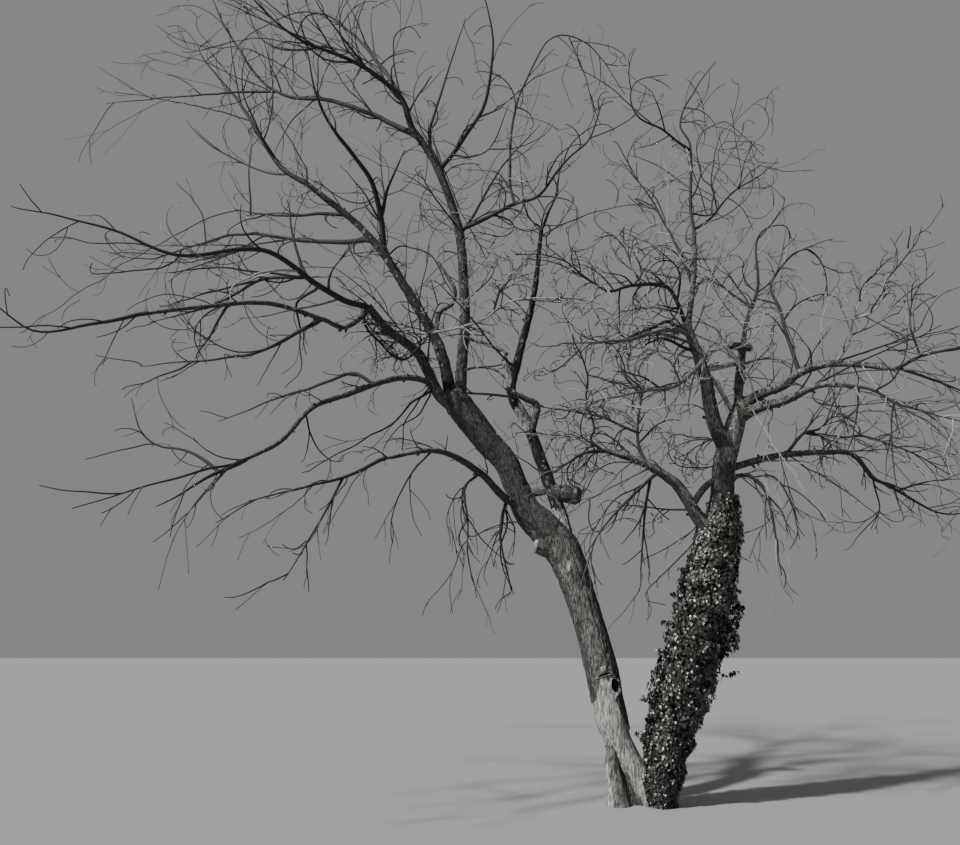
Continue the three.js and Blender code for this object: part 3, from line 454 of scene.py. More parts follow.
# The main boughs.
# Each is one tapering limb in the same bark, grown out of the stem or bough that bears it, with a
# swollen collar at its root. Short broken spurs stand on them, worn grey at their ends.
Bough = namedtuple("Bough", "root tip bark_left habit pale stations")
BOUGHS = {
    # Width at root and tip, the share of the upper side kept from the worn, painted-lit bark, habit and pale
    # share of its twigs, and bends.
    "inner_left_bough": Bough(165, 38, 0.8, "open", 0.07, [(-690, 240, 2620), (-730, 255, 2880),
        (-840, 250, 3240), (-1020, 230, 3770), (-1100, 200, 3990), (-1270, 90, 4270), (-1240, 40, 4550),
        (-1170, 0, 4800), (-1020, -140, 5400), (-930, -330, 6140)]),
    "left_leader": Bough(142, 68, 0.85, "curly", 0.07, [(-1960, 385, 4250), (-2100, 460, 4910),
        (-2270, 560, 5310), (-2580, 720, 5890), (-2890, 880, 6440), (-3310, 1060, 7000),
        (-4090, 1350, 7790)]),
    "upright_bough": Bough(141, 76, 0.6, "curly", 0.07, [(-1870, 375, 4230), (-1860, 330, 4650),
        (-1820, 280, 5160), (-1830, 200, 5660), (-1900, 60, 6380), (-2180, -120, 7150),
        (-2460, -210, 7570)]),
    "low_left_bough": Bough(140, 78, 0.45, "fanning", 0.07, [(-1900, 375, 4190), (-2110, 335, 4350),
        (-2250, 250, 4620), (-2360, 120, 4800), (-2680, -250, 4950), (-2880, -420, 5160)]),
    "low_left_reach": Bough(58, 34, 0.45, "sparse", 0.07, [(-2860, -400, 5130), (-3110, -460, 4890),
        (-3340, -620, 4920), (-3870, -900, 4980), (-4490, -1180, 4810), (-4890, -1350, 4680)]),
    "drooping_left_bough": Bough(72, 34, 0.5, "sparse", 0.07, [(-2120, 330, 4370), (-2290, 230, 4500),
        (-2600, 40, 4460), (-3080, -430, 4120), (-3360, -760, 3880), (-3580, -1080, 3450),
        (-3820, -1350, 3210)]),
    "low_hanging_bough": Bough(92, 32, 0.35, "weeping", 0.07, [(-1170, 300, 3090), (-1330, 160, 3080),
        (-1630, -100, 3330), (-2060, -520, 3480), (-2560, -1000, 3300)]),
    "back_left_bough": Bough(98, 74, 0.5, "bare", 0.07, [(-1900, 380, 4280), (-1880, 900, 4840),
        (-1840, 1350, 5590), (-1860, 1750, 6370), (-1940, 2150, 7330)]),
    "right_fork_bough": Bough(175, 88, 0.15, "curly", 0.3, [(1080, -140, 3600), (950, -200, 3790),
        (880, -260, 4020), (830, -330, 4340), (630, -430, 4950)]),
    "right_upright_bough": Bough(66, 44, 0.5, "curly", 0.2, [(650, -430, 4920), (740, -380, 5340),
        (800, -330, 5680), (850, -250, 6180)]),
    "broken_bough": Bough(100, 84, 0.5, "curly", 0.2, [(1240, -100, 4010), (1310, 30, 4420),
        (1380, 100, 4680), (1430, 140, 4860)]),
    "right_reach_bough": Bough(112, 50, 0.35, "streaming", 0.15, [(1250, -105, 4050), (1430, -180, 4190),
        (1690, -310, 4270), (1830, -400, 4380), (2130, -600, 4420), (2580, -960, 4240)]),
    "right_second_bough": Bough(120, 38, 0.35, "streaming", 0.12, [(1220, -110, 3950), (1400, -230, 4030),
        (1590, -520, 4030), (1770, -990, 4050), (1890, -1250, 3970)]),
    "right_low_bough": Bough(80, 54, 0.4, "weeping", 0.2, [(1010, -140, 3340), (1230, 0, 3440),
        (1770, 320, 3620), (2170, 580, 3710), (2590, 830, 3780), (3000, 1060, 3800), (3310, 1280, 3560)]),
    "ivy_side_bough": Bough(165, 46, 0.3, "curly", 0.07, [(860, -160, 2560), (610, -260, 2910),
        (430, -320, 3180), (50, -350, 3410), (-300, -370, 3520)]),
    "back_right_bough": Bough(100, 74, 0.5, "sparse", 0.2, [(1170, -120, 3810), (1350, 250, 4210),
        (1540, 650, 4620), (1740, 1100, 5060), (1930, 1500, 5500)]),
}
# Thinner limbs between and on them, some with their bark on: bends with the width at each.
SIDE_LIMBS = {
    "elbow": ("bark", [(-1070, 207, 3850, 100), (-1015, 170, 4010, 84), (-990, 130, 4170, 76),
        (-1110, 95, 4235, 66), (-1250, 60, 4290, 56)]),
    "stub": ("bare", [(-1262, 70, 4300, 84), (-1320, 50, 4540, 104), (-1375, 60, 4780, 62)]),
    "scar": ("bare", [(-1075, 205, 3890, 116), (-1110, 190, 4000, 126), (-1195, 140, 4140, 124),
        (-1240, 112, 4215, 104)]),
    "bar": ("bark", [(-1330, 60, 4760, 50), (-1420, 140, 4860, 48), (-1850, 230, 5050, 42)]),
    "knobby": ("bark", [(-2180, 540, 5260, 64), (-2130, 500, 5470, 60), (-1980, 480, 5580, 56),
        (-1950, 470, 5750, 50), (-2060, 480, 5970, 40), (-2160, 500, 6150, 26)]),
    "fork_bar": ("bare", [(800, -330, 4440, 50), (960, -240, 4490, 62), (1190, -100, 4580, 56),
        (1330, 50, 4640, 44)]),
    "fork_inner": ("bare", [(860, -280, 4450, 40), (1020, -200, 4240, 44), (1170, -125, 4000, 56)]),
    "arch": ("bark", [(-1860, 320, 4640, 28), (-1670, 220, 4660, 27), (-1460, 150, 4600, 26),
        (-1300, 70, 4430, 26)]),
}
BROKEN_TOP = [(1250, 140, 4905, 75), (1380, 135, 4890, 90), (1520, 130, 4865, 84)]
IVY_SIDE_LINK = [
    (600, -262, 2930, 74), (690, -240, 3070, 72), (850, -195, 3220, 70), (1000, -155, 3250, 60),
]
# Between these heights one bough has lost its bark.
BARE_STRETCH = {"inner_left_bough": (2700, 2970)}
SPUR_SEED = 300
SPUR_LENGTH = (12, 46)
SPUR_WIDTH = (11, 19)
# The darkest bark: painted shade for the boughs that stand mostly in shade.
deep_shade_bark = weathered("deep_shade_bark", (0.008, 0.0077, 0.0073), (0.034, 0.033, 0.031), 60, 0.16, 0.92, 0.9)


def seeded(seed):
    """The same plain multiply-and-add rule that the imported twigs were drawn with."""
    state = seed

    def draw():
        nonlocal state
        state = (state * 1664525 + 1013904223) % 4294967296
        return state / 4294967296

    draw()
    draw()
    return draw


def between(one, two, share):
    return one + (two - one) * share


def turned(way, axis, angle):
    """The direction turned about an axis."""
    return (way * math.cos(angle) + np.cross(axis, way) * math.sin(angle)
            + axis * axis.dot(way) * (1 - math.cos(angle)))


def side_at(way, turn):
    """A direction square to a limb, some way round it."""
    return turned(unit(np.cross(way, [0.1, 0.2, 1])), way, turn)


def start_at(at, share):
    """A place on a rounded line, and the line's direction there."""
    return at(share), unit(at(share + 0.01) - at(share - 0.01))


def bough_skin(bark_left, bare_stretch=(0, 0)):
    """Paler worn bark on its upper side, toward the sun: a painted highlight. The boughs with a high unlit
    share are in the darkest painted-shade bark all round.
    """

    def skin(spots, outs, rise):
        wear_and_light = lumps(spots, 30, 37)
        upward = outs @ np.array([-0.45, -0.35, 0.82])
        # Painted highlight on the sunward upper side; painted shade over the rest.
        slots = np.where((wear_and_light > bark_left) & (upward > 0.1), WORN_AND_LIT, PLAIN if bark_left < 0.7 else SHADED)
        height = spots[..., 2] + 90 * (wear_and_light - 0.5)
        bare = (height > bare_stretch[0]) & (height < bare_stretch[1]) & (outs[..., 0] < 0.6)
        return rise, np.where(bare, BARE, slots)

    return skin


boughs = Pile()
for number, (name, bough) in enumerate(BOUGHS.items()):
    skin = bough_skin(bough.bark_left, BARE_STRETCH.get(name, (0, 0)))
    add_limb(boughs, bough.stations, step=20, around=24 if bough.root > 110 else 16,
             depth=0.05 * bough.root, widths=(bough.root, bough.tip), skin=skin, swell=0.5)
    draw = seeded(SPUR_SEED + number)
    at = bend_line(bough.stations)
    for k in range(2 * len(bough.stations)):
        share = 0.1 + 0.85 * draw()
        start, way = start_at(at, share)
        out = side_at(way, 2 * math.pi * draw())
        radius = between(bough.root, bough.tip, share) / 2
        long = radius + between(*SPUR_LENGTH, draw())
        thick = 0.16 * radius + between(*SPUR_WIDTH, draw())
        lean = unit(out + 0.5 * way)
        spur = [(*(start + lean * 0.5 * radius), 1.5 * thick), (*(start + lean * long), thick)]
        add_limb(boughs, spur, step=9, around=8, depth=1.5, end_slot=WORN_AND_LIT)
for cover, stations in SIDE_LIMBS.values():
    skin = bare_skin if cover == "bare" else bough_skin(0.35)
    add_limb(boughs, stations, step=16, around=16, depth=3, skin=skin, end_slot=WORN_AND_LIT)
add_limb(boughs, BROKEN_TOP, step=10, around=28, depth=9, skin=bough_skin(0.3), end_slot=WORN_AND_LIT)
add_limb(boughs, IVY_SIDE_LINK, step=18, around=18, depth=4)
bough_piece = boughs.piece("boughs", [shaded_bark, bare_wood, hollow, worn_and_lit_bark, deep_shade_bark])
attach(bough_piece, "root")
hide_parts(*BOUGHS)

# The twigs.
# Bare dead twigs in tangled masses where the boughs end. Each mass has one or more long arms that fork off
# into curling twigs, and those into finer ones. Some have lost their bark and are pale, and more of them are
# pale on the right of the crown, where they also stand for twigs lit by the sun: a painted highlight in part.
Mass = namedtuple("Mass", "seed reach fall habit pale arm_tone arms long_twigs")
MASSES = {
    # Seed, reach and fall of the twigs, their habit, the share of pale ones, the tone of the arms,
    # the arms with the widths at both ends and their bends, and the long twigs that sweep out of
    # the mass, each with its widths, tone and bends.
    "low_reach_twigs": Mass(11, 620, 0.1, "bare", 0.07, 0, [
        (33, 9, [(-4890, -1350, 4680), (-5290, -1500, 4520), (-5790, -1650, 4370), (-6170, -1850, 4600)]),
    ], []),
    "upper_reach_twigs": Mass(12, 560, 0, "open", 0.07, 0, [
        (54, 9, [(-2870, -410, 5140), (-3130, -700, 5120), (-3410, -1150, 5160), (-3790, -1450, 5310),
            (-4420, -1900, 5030), (-4990, -2100, 5180), (-5770, -2350, 5270)]),
        (32, 9, [(-3410, -1150, 5160), (-3820, -1000, 5210), (-4110, -850, 5190), (-4410, -700, 5080),
            (-5290, -400, 4970)]),
    ], [
        (20, 9, 0, [(-3920, -950, 5230), (-5070, -700, 5030)]),
        (18, 10, 1, [(-3900, -1000, 5190), (-3680, -1040, 4970), (-3530, -1060, 4960),
            (-3360, -1100, 5110)]),
        (18, 8, 0, [(-3400, -1200, 5140), (-4350, -1420, 5120), (-4680, -1500, 5040)]),
        (28, 9, 0, [(-3280, -1150, 5160), (-3540, -1080, 5580), (-3710, -1000, 6130)]),
        (22, 12, 2, [(-3350, -1150, 5160), (-3190, -720, 5370), (-3120, -500, 5350)]),
    ]),
    "lower_reach_twigs": Mass(13, 520, 0.2, "bare", 0.07, 0, [
        (36, 9, [(-3340, -620, 4920), (-3590, -550, 4810), (-3900, -420, 4680), (-4360, -250, 4620),
            (-5560, 100, 4630)]),
    ], [
        (12, 6, 0, [(-3570, -560, 4820), (-3580, -520, 4350), (-3720, -500, 4180)]),
        (24, 9, 0, [(-4260, -1000, 4970), (-4570, -850, 4400)]),
        (20, 8, 0, [(-4800, -100, 4610), (-5830, 300, 4410)]),
        (26, 16, 0, [(-3390, -950, 5150), (-3630, -750, 5050), (-3580, -550, 4830)]),
    ]),
    "leader_tip_twigs": Mass(14, 760, -0.2, "bare", 0.07, 0, [
        (62, 12, [(-4090, 1350, 7790), (-4450, 1450, 8070), (-4820, 1600, 8640), (-5330, 1850, 9510),
            (-6130, 2150, 10680), (-5990, 2250, 10950)]),
    ], [
        (12, 7, 0, [(-4840, 1600, 8670), (-4880, 1570, 8850), (-4820, 1530, 8960), (-4650, 1500, 8940)]),
        (18, 7, 0, [(-5110, 1750, 9050), (-6230, 2080, 9620), (-7490, 2300, 10010)]),
        (17, 9, 0, [(-4050, 1350, 7800), (-4090, 1310, 8000), (-4460, 1200, 8670)]),
    ]),
    "far_left_twigs": Mass(15, 700, 0.1, "bare", 0.07, 0, [
        (54, 9, [(-3090, 970, 6690), (-3530, 1250, 6820), (-4220, 1700, 7090), (-5240, 2200, 7450),
            (-5940, 2500, 7440), (-6950, 2900, 7390), (-7770, 3100, 7650)]),
    ], [
        (25, 12, 0, [(-6280, 2600, 7310), (-6390, 2630, 7140), (-7400, 2780, 7090), (-7740, 2830, 7150),
            (-7740, 2850, 7300)]),
        (12, 6, 0, [(-5210, 1930, 7550), (-5640, 1830, 7440), (-6960, 1420, 6260), (-7660, 1150, 5450)]),
        (20, 9, 0, [(-4810, 1900, 7240), (-5430, 2000, 6960), (-6340, 2100, 6930)]),
    ]),
    "middle_left_twigs": Mass(16, 560, -0.1, "bare", 0.07, 0, [
        (42, 12, [(-3460, 1110, 7150), (-3880, 1350, 7300), (-4450, 1600, 7410), (-5270, 1950, 7720)]),
        (24, 8, [(-4980, 1820, 7560), (-5060, 1850, 8250), (-5110, 2000, 8960)]),
    ], [
        (18, 9, 0, [(-5810, 2450, 7370), (-6000, 2500, 8020), (-6430, 2550, 8530)]),
        (18, 8, 0, [(-4760, 1700, 7450), (-5190, 1770, 7330), (-5290, 1800, 7220)]),
    ]),
    "y_fork_twigs": Mass(17, 520, -0.2, "bare", 0.07, 0, [
        (64, 12, [(-2900, 885, 6450), (-2930, 760, 6880), (-3030, 520, 7260), (-3280, 300, 7570),
            (-3620, 0, 8000), (-3790, -300, 8650)]),
        (44, 10, [(-2930, 740, 6920), (-2850, 640, 7230), (-2610, 420, 7690)]),
    ], [
        (18, 10, 0, [(-2860, 870, 6420), (-2700, 800, 6520), (-2500, 720, 6460), (-2240, 650, 6280),
            (-2060, 570, 5900), (-1970, 500, 5660)]),
        (17, 8, 0, [(-3560, 0, 7950), (-3660, -50, 8130), (-3670, -100, 8420), (-3660, -150, 8660),
            (-3560, -200, 8790)]),
        (17, 9, 0, [(-3430, 100, 7720), (-3580, 200, 8310)]),
        (15, 7, 0, [(-2990, 600, 7150), (-3130, 480, 6980), (-3310, 420, 6980), (-3720, 300, 7180)]),
        (15, 8, 2, [(-2880, 560, 7200), (-2850, 500, 7480), (-3060, 400, 7810)]),
        (12, 6, 0, [(-3470, 1100, 7170), (-2750, 680, 7240), (-2350, 400, 7390)]),
    ]),
    "crown_left_twigs": Mass(18, 620, -0.2, "open", 0.07, 0, [
        (60, 12, [(-2460, -210, 7570), (-2640, -330, 7960), (-3100, -560, 8220), (-3810, -850, 8360),
            (-4400, -1200, 8770)]),
        (44, 9, [(-2640, -330, 7960), (-2750, -100, 8340), (-3410, 400, 9510), (-4050, 750, 10090),
            (-4280, 900, 9660), (-4230, 950, 9120)]),
        (30, 9, [(-2830, -430, 8080), (-2950, -800, 7950), (-3360, -1700, 8060)]),
    ], [
        (13, 8, 0, [(-2800, -300, 8110), (-3220, -450, 8580), (-3310, -500, 8570)]),
        (10, 6, 0, [(-3770, -200, 8880), (-4450, 0, 9120), (-5540, 200, 9010)]),
        (16, 7, 0, [(-3310, -700, 8350), (-4610, -1000, 8690)]),
        (24, 9, 0, [(-3240, -600, 8340), (-3440, -540, 8470), (-3950, -430, 8530), (-4220, -370, 8650),
            (-4370, -310, 8810), (-4680, -200, 9440)]),
        (12, 6, 0, [(-3750, 580, 9900), (-4140, 620, 10010), (-4830, 690, 9730), (-4990, 710, 9510),
            (-5070, 740, 9200), (-5040, 800, 8510)]),
        (17, 8, 0, [(-2560, -290, 7950), (-2700, -320, 8650), (-2530, -340, 8940), (-2370, -350, 8750)]),
    ]),
    "crown_far_left_twigs": Mass(19, 640, -0.1, "bare", 0.07, 0, [
        (52, 11, [(-2420, -200, 7510), (-2590, -100, 7640), (-2990, 50, 7960), (-3560, 350, 8380),
            (-4460, 800, 8870), (-5230, 1150, 10010), (-5920, 1500, 11450)]),
        (28, 8, [(-4460, 800, 8870), (-5010, 1000, 9010), (-5650, 1200, 9120), (-7200, 1600, 9270)]),
    ], [
        (18, 9, 0, [(-4250, 800, 8870), (-4530, 600, 9230)]),
        (13, 6, 0, [(-3660, 300, 8470), (-4260, 500, 9050), (-4910, 700, 9490)]),
        (14, 6, 0, [(-4530, 800, 8870), (-5560, 1040, 9530), (-6300, 1200, 9880)]),
        (16, 9, 0, [(-2970, 50, 7960), (-3780, 300, 9060)]),
        (15, 9, 0, [(-2970, 60, 7950), (-3320, -100, 8420)]),
    ]),
    "crown_up_twigs": Mass(20, 560, -0.3, "bare", 0.07, 0, [
        (46, 10, [(-2160, -110, 7110), (-2270, 50, 7570), (-2200, 110, 8040), (-2030, 250, 8830),
            (-1840, 450, 9770)]),
    ], [
        (12, 6, 0, [(-1860, 450, 9700), (-1730, 370, 9160), (-1600, 280, 8600), (-1370, 200, 8140)]),
        (24, 16, 0, [(-2430, -210, 7780), (-2340, -180, 8090), (-2240, -150, 8360)]),
    ]),
    "crown_right_twigs": Mass(21, 560, -0.1, "bare", 0.07, 0, [
        (60, 10, [(-2120, -90, 7080), (-1870, -250, 7340), (-1570, -500, 7710), (-1510, -650, 8010),
            (-1490, -800, 8430), (-1610, -950, 8960)]),
        (30, 8, [(-1980, -180, 7230), (-1760, -350, 7080), (-1520, -550, 7080), (-1310, -850, 7420)]),
    ], [
        (13, 7, 0, [(-1520, -600, 8110), (-1440, -630, 8310), (-1350, -670, 8410), (-1260, -700, 8350)]),
    ]),
    "back_left_twigs": Mass(22, 760, -0.1, "open", 0.07, 0, [
        (66, 12, [(-1940, 2150, 7330), (-2070, 2400, 8050), (-2280, 2700, 8950), (-2910, 3000, 10390)]),
        (50, 10, [(-1950, 2170, 7380), (-1640, 2350, 8030), (-1320, 2500, 8730), (-650, 2750, 9730)]),
    ], []),
    "inner_left_twigs": Mass(23, 420, -0.1, "sparse", 0.3, 0, [
        (36, 9, [(-930, -330, 6140), (-850, -420, 6330), (-760, -500, 6490), (-730, -600, 6840)]),
        (24, 8, [(-925, -335, 6160), (-1080, -200, 6400), (-1150, 100, 7270)]),
    ], [
        (13, 8, 0, [(-760, -420, 6560), (-670, -360, 7030), (-690, -300, 7400)]),
        (18, 12, 0, [(-930, -330, 6160), (-860, -360, 6420), (-740, -390, 6590), (-780, -420, 6770)]),
        (15, 6, 0, [(-840, -420, 6010), (-280, -530, 6270), (250, -600, 6330)]),
        (20, 16, 0, [(-930, -320, 6160), (-850, -320, 6230), (-820, -320, 6140), (-880, -330, 6060),
            (-950, -330, 6130)]),
        (34, 26, 0, [(-1270, 100, 4270), (-1800, 120, 4320)]),
        (20, 14, 0, [(-1340, 80, 4690), (-1780, 200, 4640)]),
    ]),
    "cross_twigs": Mass(24, 480, 0, "looping", 0.25, 0, [
        (56, 9, [(-1885, 85, 6360), (-1570, -150, 6390), (-1220, -400, 6450), (-970, -600, 6430),
            (-680, -900, 6690), (-450, -1050, 6840), (-310, -1300, 7160)]),
        (36, 9, [(-1240, -390, 6450), (-1290, -330, 6790), (-1220, -120, 7810), (-1050, 0, 8420),
            (-640, 160, 9220), (-160, 280, 9140), (270, 400, 8510)]),
        (20, 8, [(-460, 220, 9250), (-280, 100, 8500), (-200, -50, 7730)]),
    ], [
        (15, 8, 0, [(-2090, -100, 7110), (-1900, -30, 6670), (-1750, 30, 6310), (-1600, 100, 6070)]),
        (18, 9, 0, [(-1750, 60, 6440), (-1570, 100, 6000)]),
        (15, 8, 2, [(-1780, 100, 5700), (-1260, -100, 6300)]),
        (17, 12, 0, [(-1440, -200, 6500), (-1170, -260, 6230), (-930, -330, 6160)]),
        (13, 8, 2, [(-1250, -260, 6190), (-1080, -300, 5540)]),
    ]),
    "front_curl_twigs": Mass(25, 380, 0.1, "tangled", 0.4, 2, [
        (48, 9, [(-2270, 560, 5190), (-2460, 420, 4990), (-2600, 300, 4800), (-2670, 160, 4880),
            (-2540, 20, 5000), (-2210, -90, 4960), (-1650, -280, 5030), (-1270, -440, 5210),
            (-530, -820, 5070)]),
        (22, 8, [(-1480, -350, 5140), (-1410, -420, 5340), (-1280, -500, 5530)]),
    ], [
        (32, 22, 0, [(-2980, -400, 5120), (-2930, -380, 4970), (-2780, -300, 4810), (-2620, -250, 4640),
            (-2470, -200, 4640), (-2240, -100, 4890)]),
        (22, 14, 0, [(-2970, -410, 5060), (-2840, -420, 4880), (-2650, -400, 4810), (-2410, -350, 4900)]),
        (24, 10, 0, [(-1480, -380, 5130), (-1390, -450, 5360), (-1280, -480, 5540)]),
        (13, 7, 1, [(-830, -700, 5150), (-590, -750, 5110), (-450, -800, 4990), (-320, -900, 4570)]),
    ]),
    "droop_left_twigs": Mass(26, 520, 0.3, "bare", 0.07, 0, [
        (33, 9, [(-3820, -1350, 3210), (-4020, -1550, 3040), (-4390, -1900, 2680)]),
        (26, 8, [(-4000, -1530, 3050), (-4300, -1400, 3250), (-4820, -1200, 3440), (-5120, -1000, 3910)]),
        (22, 8, [(-3860, -1390, 3180), (-4230, -2050, 2890), (-4770, -2550, 2560)]),
    ], []),
    "mid_left_twigs": Mass(27, 480, 0.2, "bare", 0.07, 0, [
        (34, 9, [(-2830, -170, 4330), (-3060, -100, 4480), (-3370, 80, 4440), (-3830, 330, 4380),
            (-4850, 820, 4170)]),
    ], [
        (20, 8, 0, [(-2250, 330, 4380), (-2490, 150, 4100), (-2840, 0, 3770), (-3270, -150, 3490),
            (-3540, -250, 3310)]),
        (16, 7, 0, [(-2200, 330, 4370), (-2330, 250, 4120), (-2570, 150, 3910), (-2710, 50, 3650)]),
        (16, 7, 0, [(-2280, 320, 4430), (-2420, 200, 4190), (-2500, 120, 3930), (-2510, 60, 3630)]),
    ]),
    "hanging_tip_twigs": Mass(28, 420, 0.4, "dangling", 0.07, 0, [
        (30, 8, [(-2560, -1000, 3300), (-2730, -1150, 3170), (-2940, -1350, 3030), (-3580, -2000, 2710)]),
        (20, 8, [(-2910, -1320, 3050), (-3080, -1450, 2630), (-3330, -1650, 2080)]),
    ], []),
    "knob_twigs": Mass(29, 300, 0.5, "dangling", 0.07, 0, [
        (44, 9, [(-1330, 150, 3080), (-1400, 80, 2860), (-1420, 60, 2630), (-1310, 10, 2090)]),
    ], [
        (14, 7, 0, [(-1370, 120, 2740), (-1470, 80, 2570), (-1580, 40, 2360), (-1550, 0, 2140)]),
        (16, 8, 0, [(-1310, 130, 2990), (-1240, 100, 2740), (-1290, 80, 2460)]),
        (22, 10, 0, [(-1380, 150, 3060), (-1360, 130, 2800), (-1410, 110, 2550), (-1370, 90, 2290),
            (-1300, 70, 2100), (-1420, 50, 1990)]),
    ]),
    "hanging_front_twigs": Mass(30, 320, 0.5, "dangling", 0.07, 0, [
        (34, 8, [(-1640, -110, 3330), (-1810, -170, 3160), (-1760, -190, 2830), (-1770, -210, 2460),
            (-1670, -230, 1990)]),
    ], [
        (12, 6, 0, [(-1850, -200, 2600), (-1970, -250, 2230), (-2180, -300, 1910)]),
        (14, 7, 0, [(-1860, -200, 2640), (-1620, -150, 2710), (-1320, -100, 2790), (-1120, -50, 2790)]),
        (14, 8, 0, [(-1810, -170, 3180), (-1940, -210, 3020), (-1990, -260, 2800), (-1950, -300, 2530)]),
        (18, 9, 0, [(-1810, -170, 3160), (-1830, -190, 2970), (-1790, -200, 2810), (-1860, -220, 2610),
            (-1800, -230, 2440), (-1820, -250, 2260)]),
    ]),
    "right_curl_twigs": Mass(31, 420, 0, "tangled", 0.2, 0, [
        (56, 9, [(620, -430, 4930), (520, -500, 5190), (400, -570, 5320), (-10, -800, 5230),
            (-330, -980, 5090), (-980, -1350, 5420)]),
    ], [
        (17, 8, 0, [(-410, -980, 5160), (-810, -1090, 5350), (-1210, -1200, 5340)]),
        (22, 9, 0, [(-10, -760, 5230), (90, -740, 5360), (10, -720, 5710), (50, -700, 5840)]),
        (20, 8, 0, [(100, -720, 5280), (-170, -830, 5780), (-420, -900, 5700)]),
    ]),
    "right_up_twigs": Mass(32, 520, -0.1, "looping", 0.2, 0, [
        (44, 9, [(850, -250, 6180), (840, -200, 6480), (940, -60, 7430), (860, 10, 7770), (1120, 100, 8380),
            (1430, 180, 8840)]),
        (34, 8, [(850, -250, 6190), (1030, -150, 6340), (1520, 150, 6950), (1880, 350, 7250),
            (2250, 550, 7600)]),
        (32, 8, [(930, -70, 7360), (580, -250, 7490), (210, -420, 7630), (210, -520, 7970),
            (580, -600, 8020)]),
    ], [
        (22, 16, 0, [(880, -140, 6410), (1120, -100, 6450), (1170, -60, 6860)]),
        (14, 6, 0, [(1170, -60, 6860), (1060, -80, 6940), (1000, -100, 7160), (1010, -120, 7440),
            (1150, -140, 7600), (1400, -160, 7690), (1780, -200, 7190)]),
        (13, 6, 0, [(1170, -60, 6870), (1270, -30, 7140), (1270, 0, 7390), (1390, 40, 7550),
            (1750, 100, 7610)]),
        (15, 8, 0, [(1540, 150, 6950), (1760, 100, 7620)]),
        (12, 6, 1, [(1570, 160, 6930), (1970, 220, 7030), (2080, 240, 7190), (1930, 300, 7450)]),
        (16, 12, 0, [(1040, -130, 6420), (900, -60, 7230)]),
    ]),
    "right_middle_twigs": Mass(33, 460, -0.1, "looping", 0.07, 0, [
        (46, 9, [(755, -365, 5410), (720, -280, 5660), (650, -100, 6110), (450, 220, 6930),
            (180, 480, 7590)]),
    ], [
        (20, 16, 2, [(670, -330, 5600), (550, -300, 5750), (530, -320, 5940), (510, -330, 6010)]),
        (11, 6, 0, [(310, 350, 7240), (250, 380, 7550), (330, 400, 7720), (860, 480, 8300),
            (1040, 500, 8320)]),
        (13, 8, 2, [(620, -80, 6330), (630, 0, 7200)]),
    ]),
    "inner_right_twigs": Mass(34, 380, 0.2, "curly", 0.35, 1, [
        (60, 9, [(680, -410, 4810), (400, -650, 4800), (130, -850, 4660), (-170, -1080, 4490),
            (-890, -1600, 4270)]),
    ], [
        (30, 13, 2, [(680, -400, 4850), (930, -400, 4760), (1110, -360, 4640), (1240, -330, 4430),
            (1330, -320, 4260), (1410, -300, 4000)]),
        (18, 8, 1, [(1010, -380, 4720), (980, -360, 4890), (800, -380, 4980), (600, -400, 5000)]),
        (18, 8, 2, [(1110, -350, 4640), (1300, -300, 4740), (1480, -260, 4930), (1570, -240, 5160),
            (1450, -230, 5290)]),
        (16, 7, 1, [(1220, -280, 4690), (1380, -240, 4940), (1310, -240, 5180), (1150, -250, 5300)]),
        (16, 7, 2, [(1010, -380, 4740), (1230, -380, 5030), (1280, -380, 5170)]),
        (52, 18, 0, [(670, -420, 4850), (390, -610, 4890), (-130, -1000, 4540)]),
        (42, 16, 1, [(680, -420, 4730), (80, -870, 4670), (-210, -1100, 4500)]),
        (44, 16, 0, [(690, -400, 4620), (280, -670, 4640), (90, -800, 4560)]),
        (28, 12, 2, [(660, -400, 4510), (160, -700, 4550)]),
    ]),
    "front_drop_twigs": Mass(35, 400, 0.3, "curly", 0.35, 1, [
        (56, 9, [(780, -360, 4510), (800, -500, 4530), (620, -620, 4320), (350, -820, 4090),
            (-30, -1100, 3960), (-730, -1650, 3660)]),
        (28, 8, [(-30, -1100, 3960), (-250, -1230, 4170), (-190, -1280, 4370)]),
    ], [
        (26, 17, 2, [(0, -560, 4700), (-40, -560, 4520), (10, -540, 4320), (130, -500, 4170),
            (410, -440, 4190), (710, -360, 4420)]),
        (26, 14, 2, [(780, -360, 4470), (930, -320, 4640), (1180, -280, 4770)]),
        (15, 8, 0, [(10, -1080, 3950), (-170, -1120, 4190), (-140, -1130, 4350), (-30, -1150, 4450)]),
        (15, 8, 0, [(-110, -1090, 3950), (-290, -1140, 4240), (-270, -1170, 4380), (-190, -1200, 4440)]),
    ]),
    "right_rise_twigs": Mass(36, 460, 0, "sparse", 0.2, 0, [
        (52, 9, [(1830, -400, 4370), (1820, -330, 4590), (1810, -80, 5280), (1820, 60, 5670),
            (2300, 220, 6180), (2560, 310, 6030), (2610, 380, 5540)]),
    ], []),
    "right_branch_twigs": Mass(37, 380, 0, "curly", 0.35, 2, [
        (34, 9, [(2130, -600, 4410), (2240, -720, 4580), (2270, -850, 4830), (2370, -950, 5070),
            (2380, -1000, 5220)]),
        (26, 8, [(2270, -850, 4820), (2450, -950, 4870), (2630, -1120, 5300), (2760, -1200, 5470)]),
    ], [
        (18, 8, 1, [(1760, -420, 4320), (1700, -600, 4800), (1580, -640, 5080), (1690, -660, 5330)]),
        (18, 8, 2, [(2030, -560, 4400), (1980, -700, 4650), (2060, -720, 5030), (2250, -740, 5270)]),
        (20, 10, 1, [(2300, -760, 4680), (2730, -900, 4870)]),
        (16, 8, 2, [(2270, -850, 4830), (1790, -900, 4860)]),
        (12, 7, 0, [(2370, -900, 4780), (2670, -950, 4580), (3210, -1000, 4590)]),
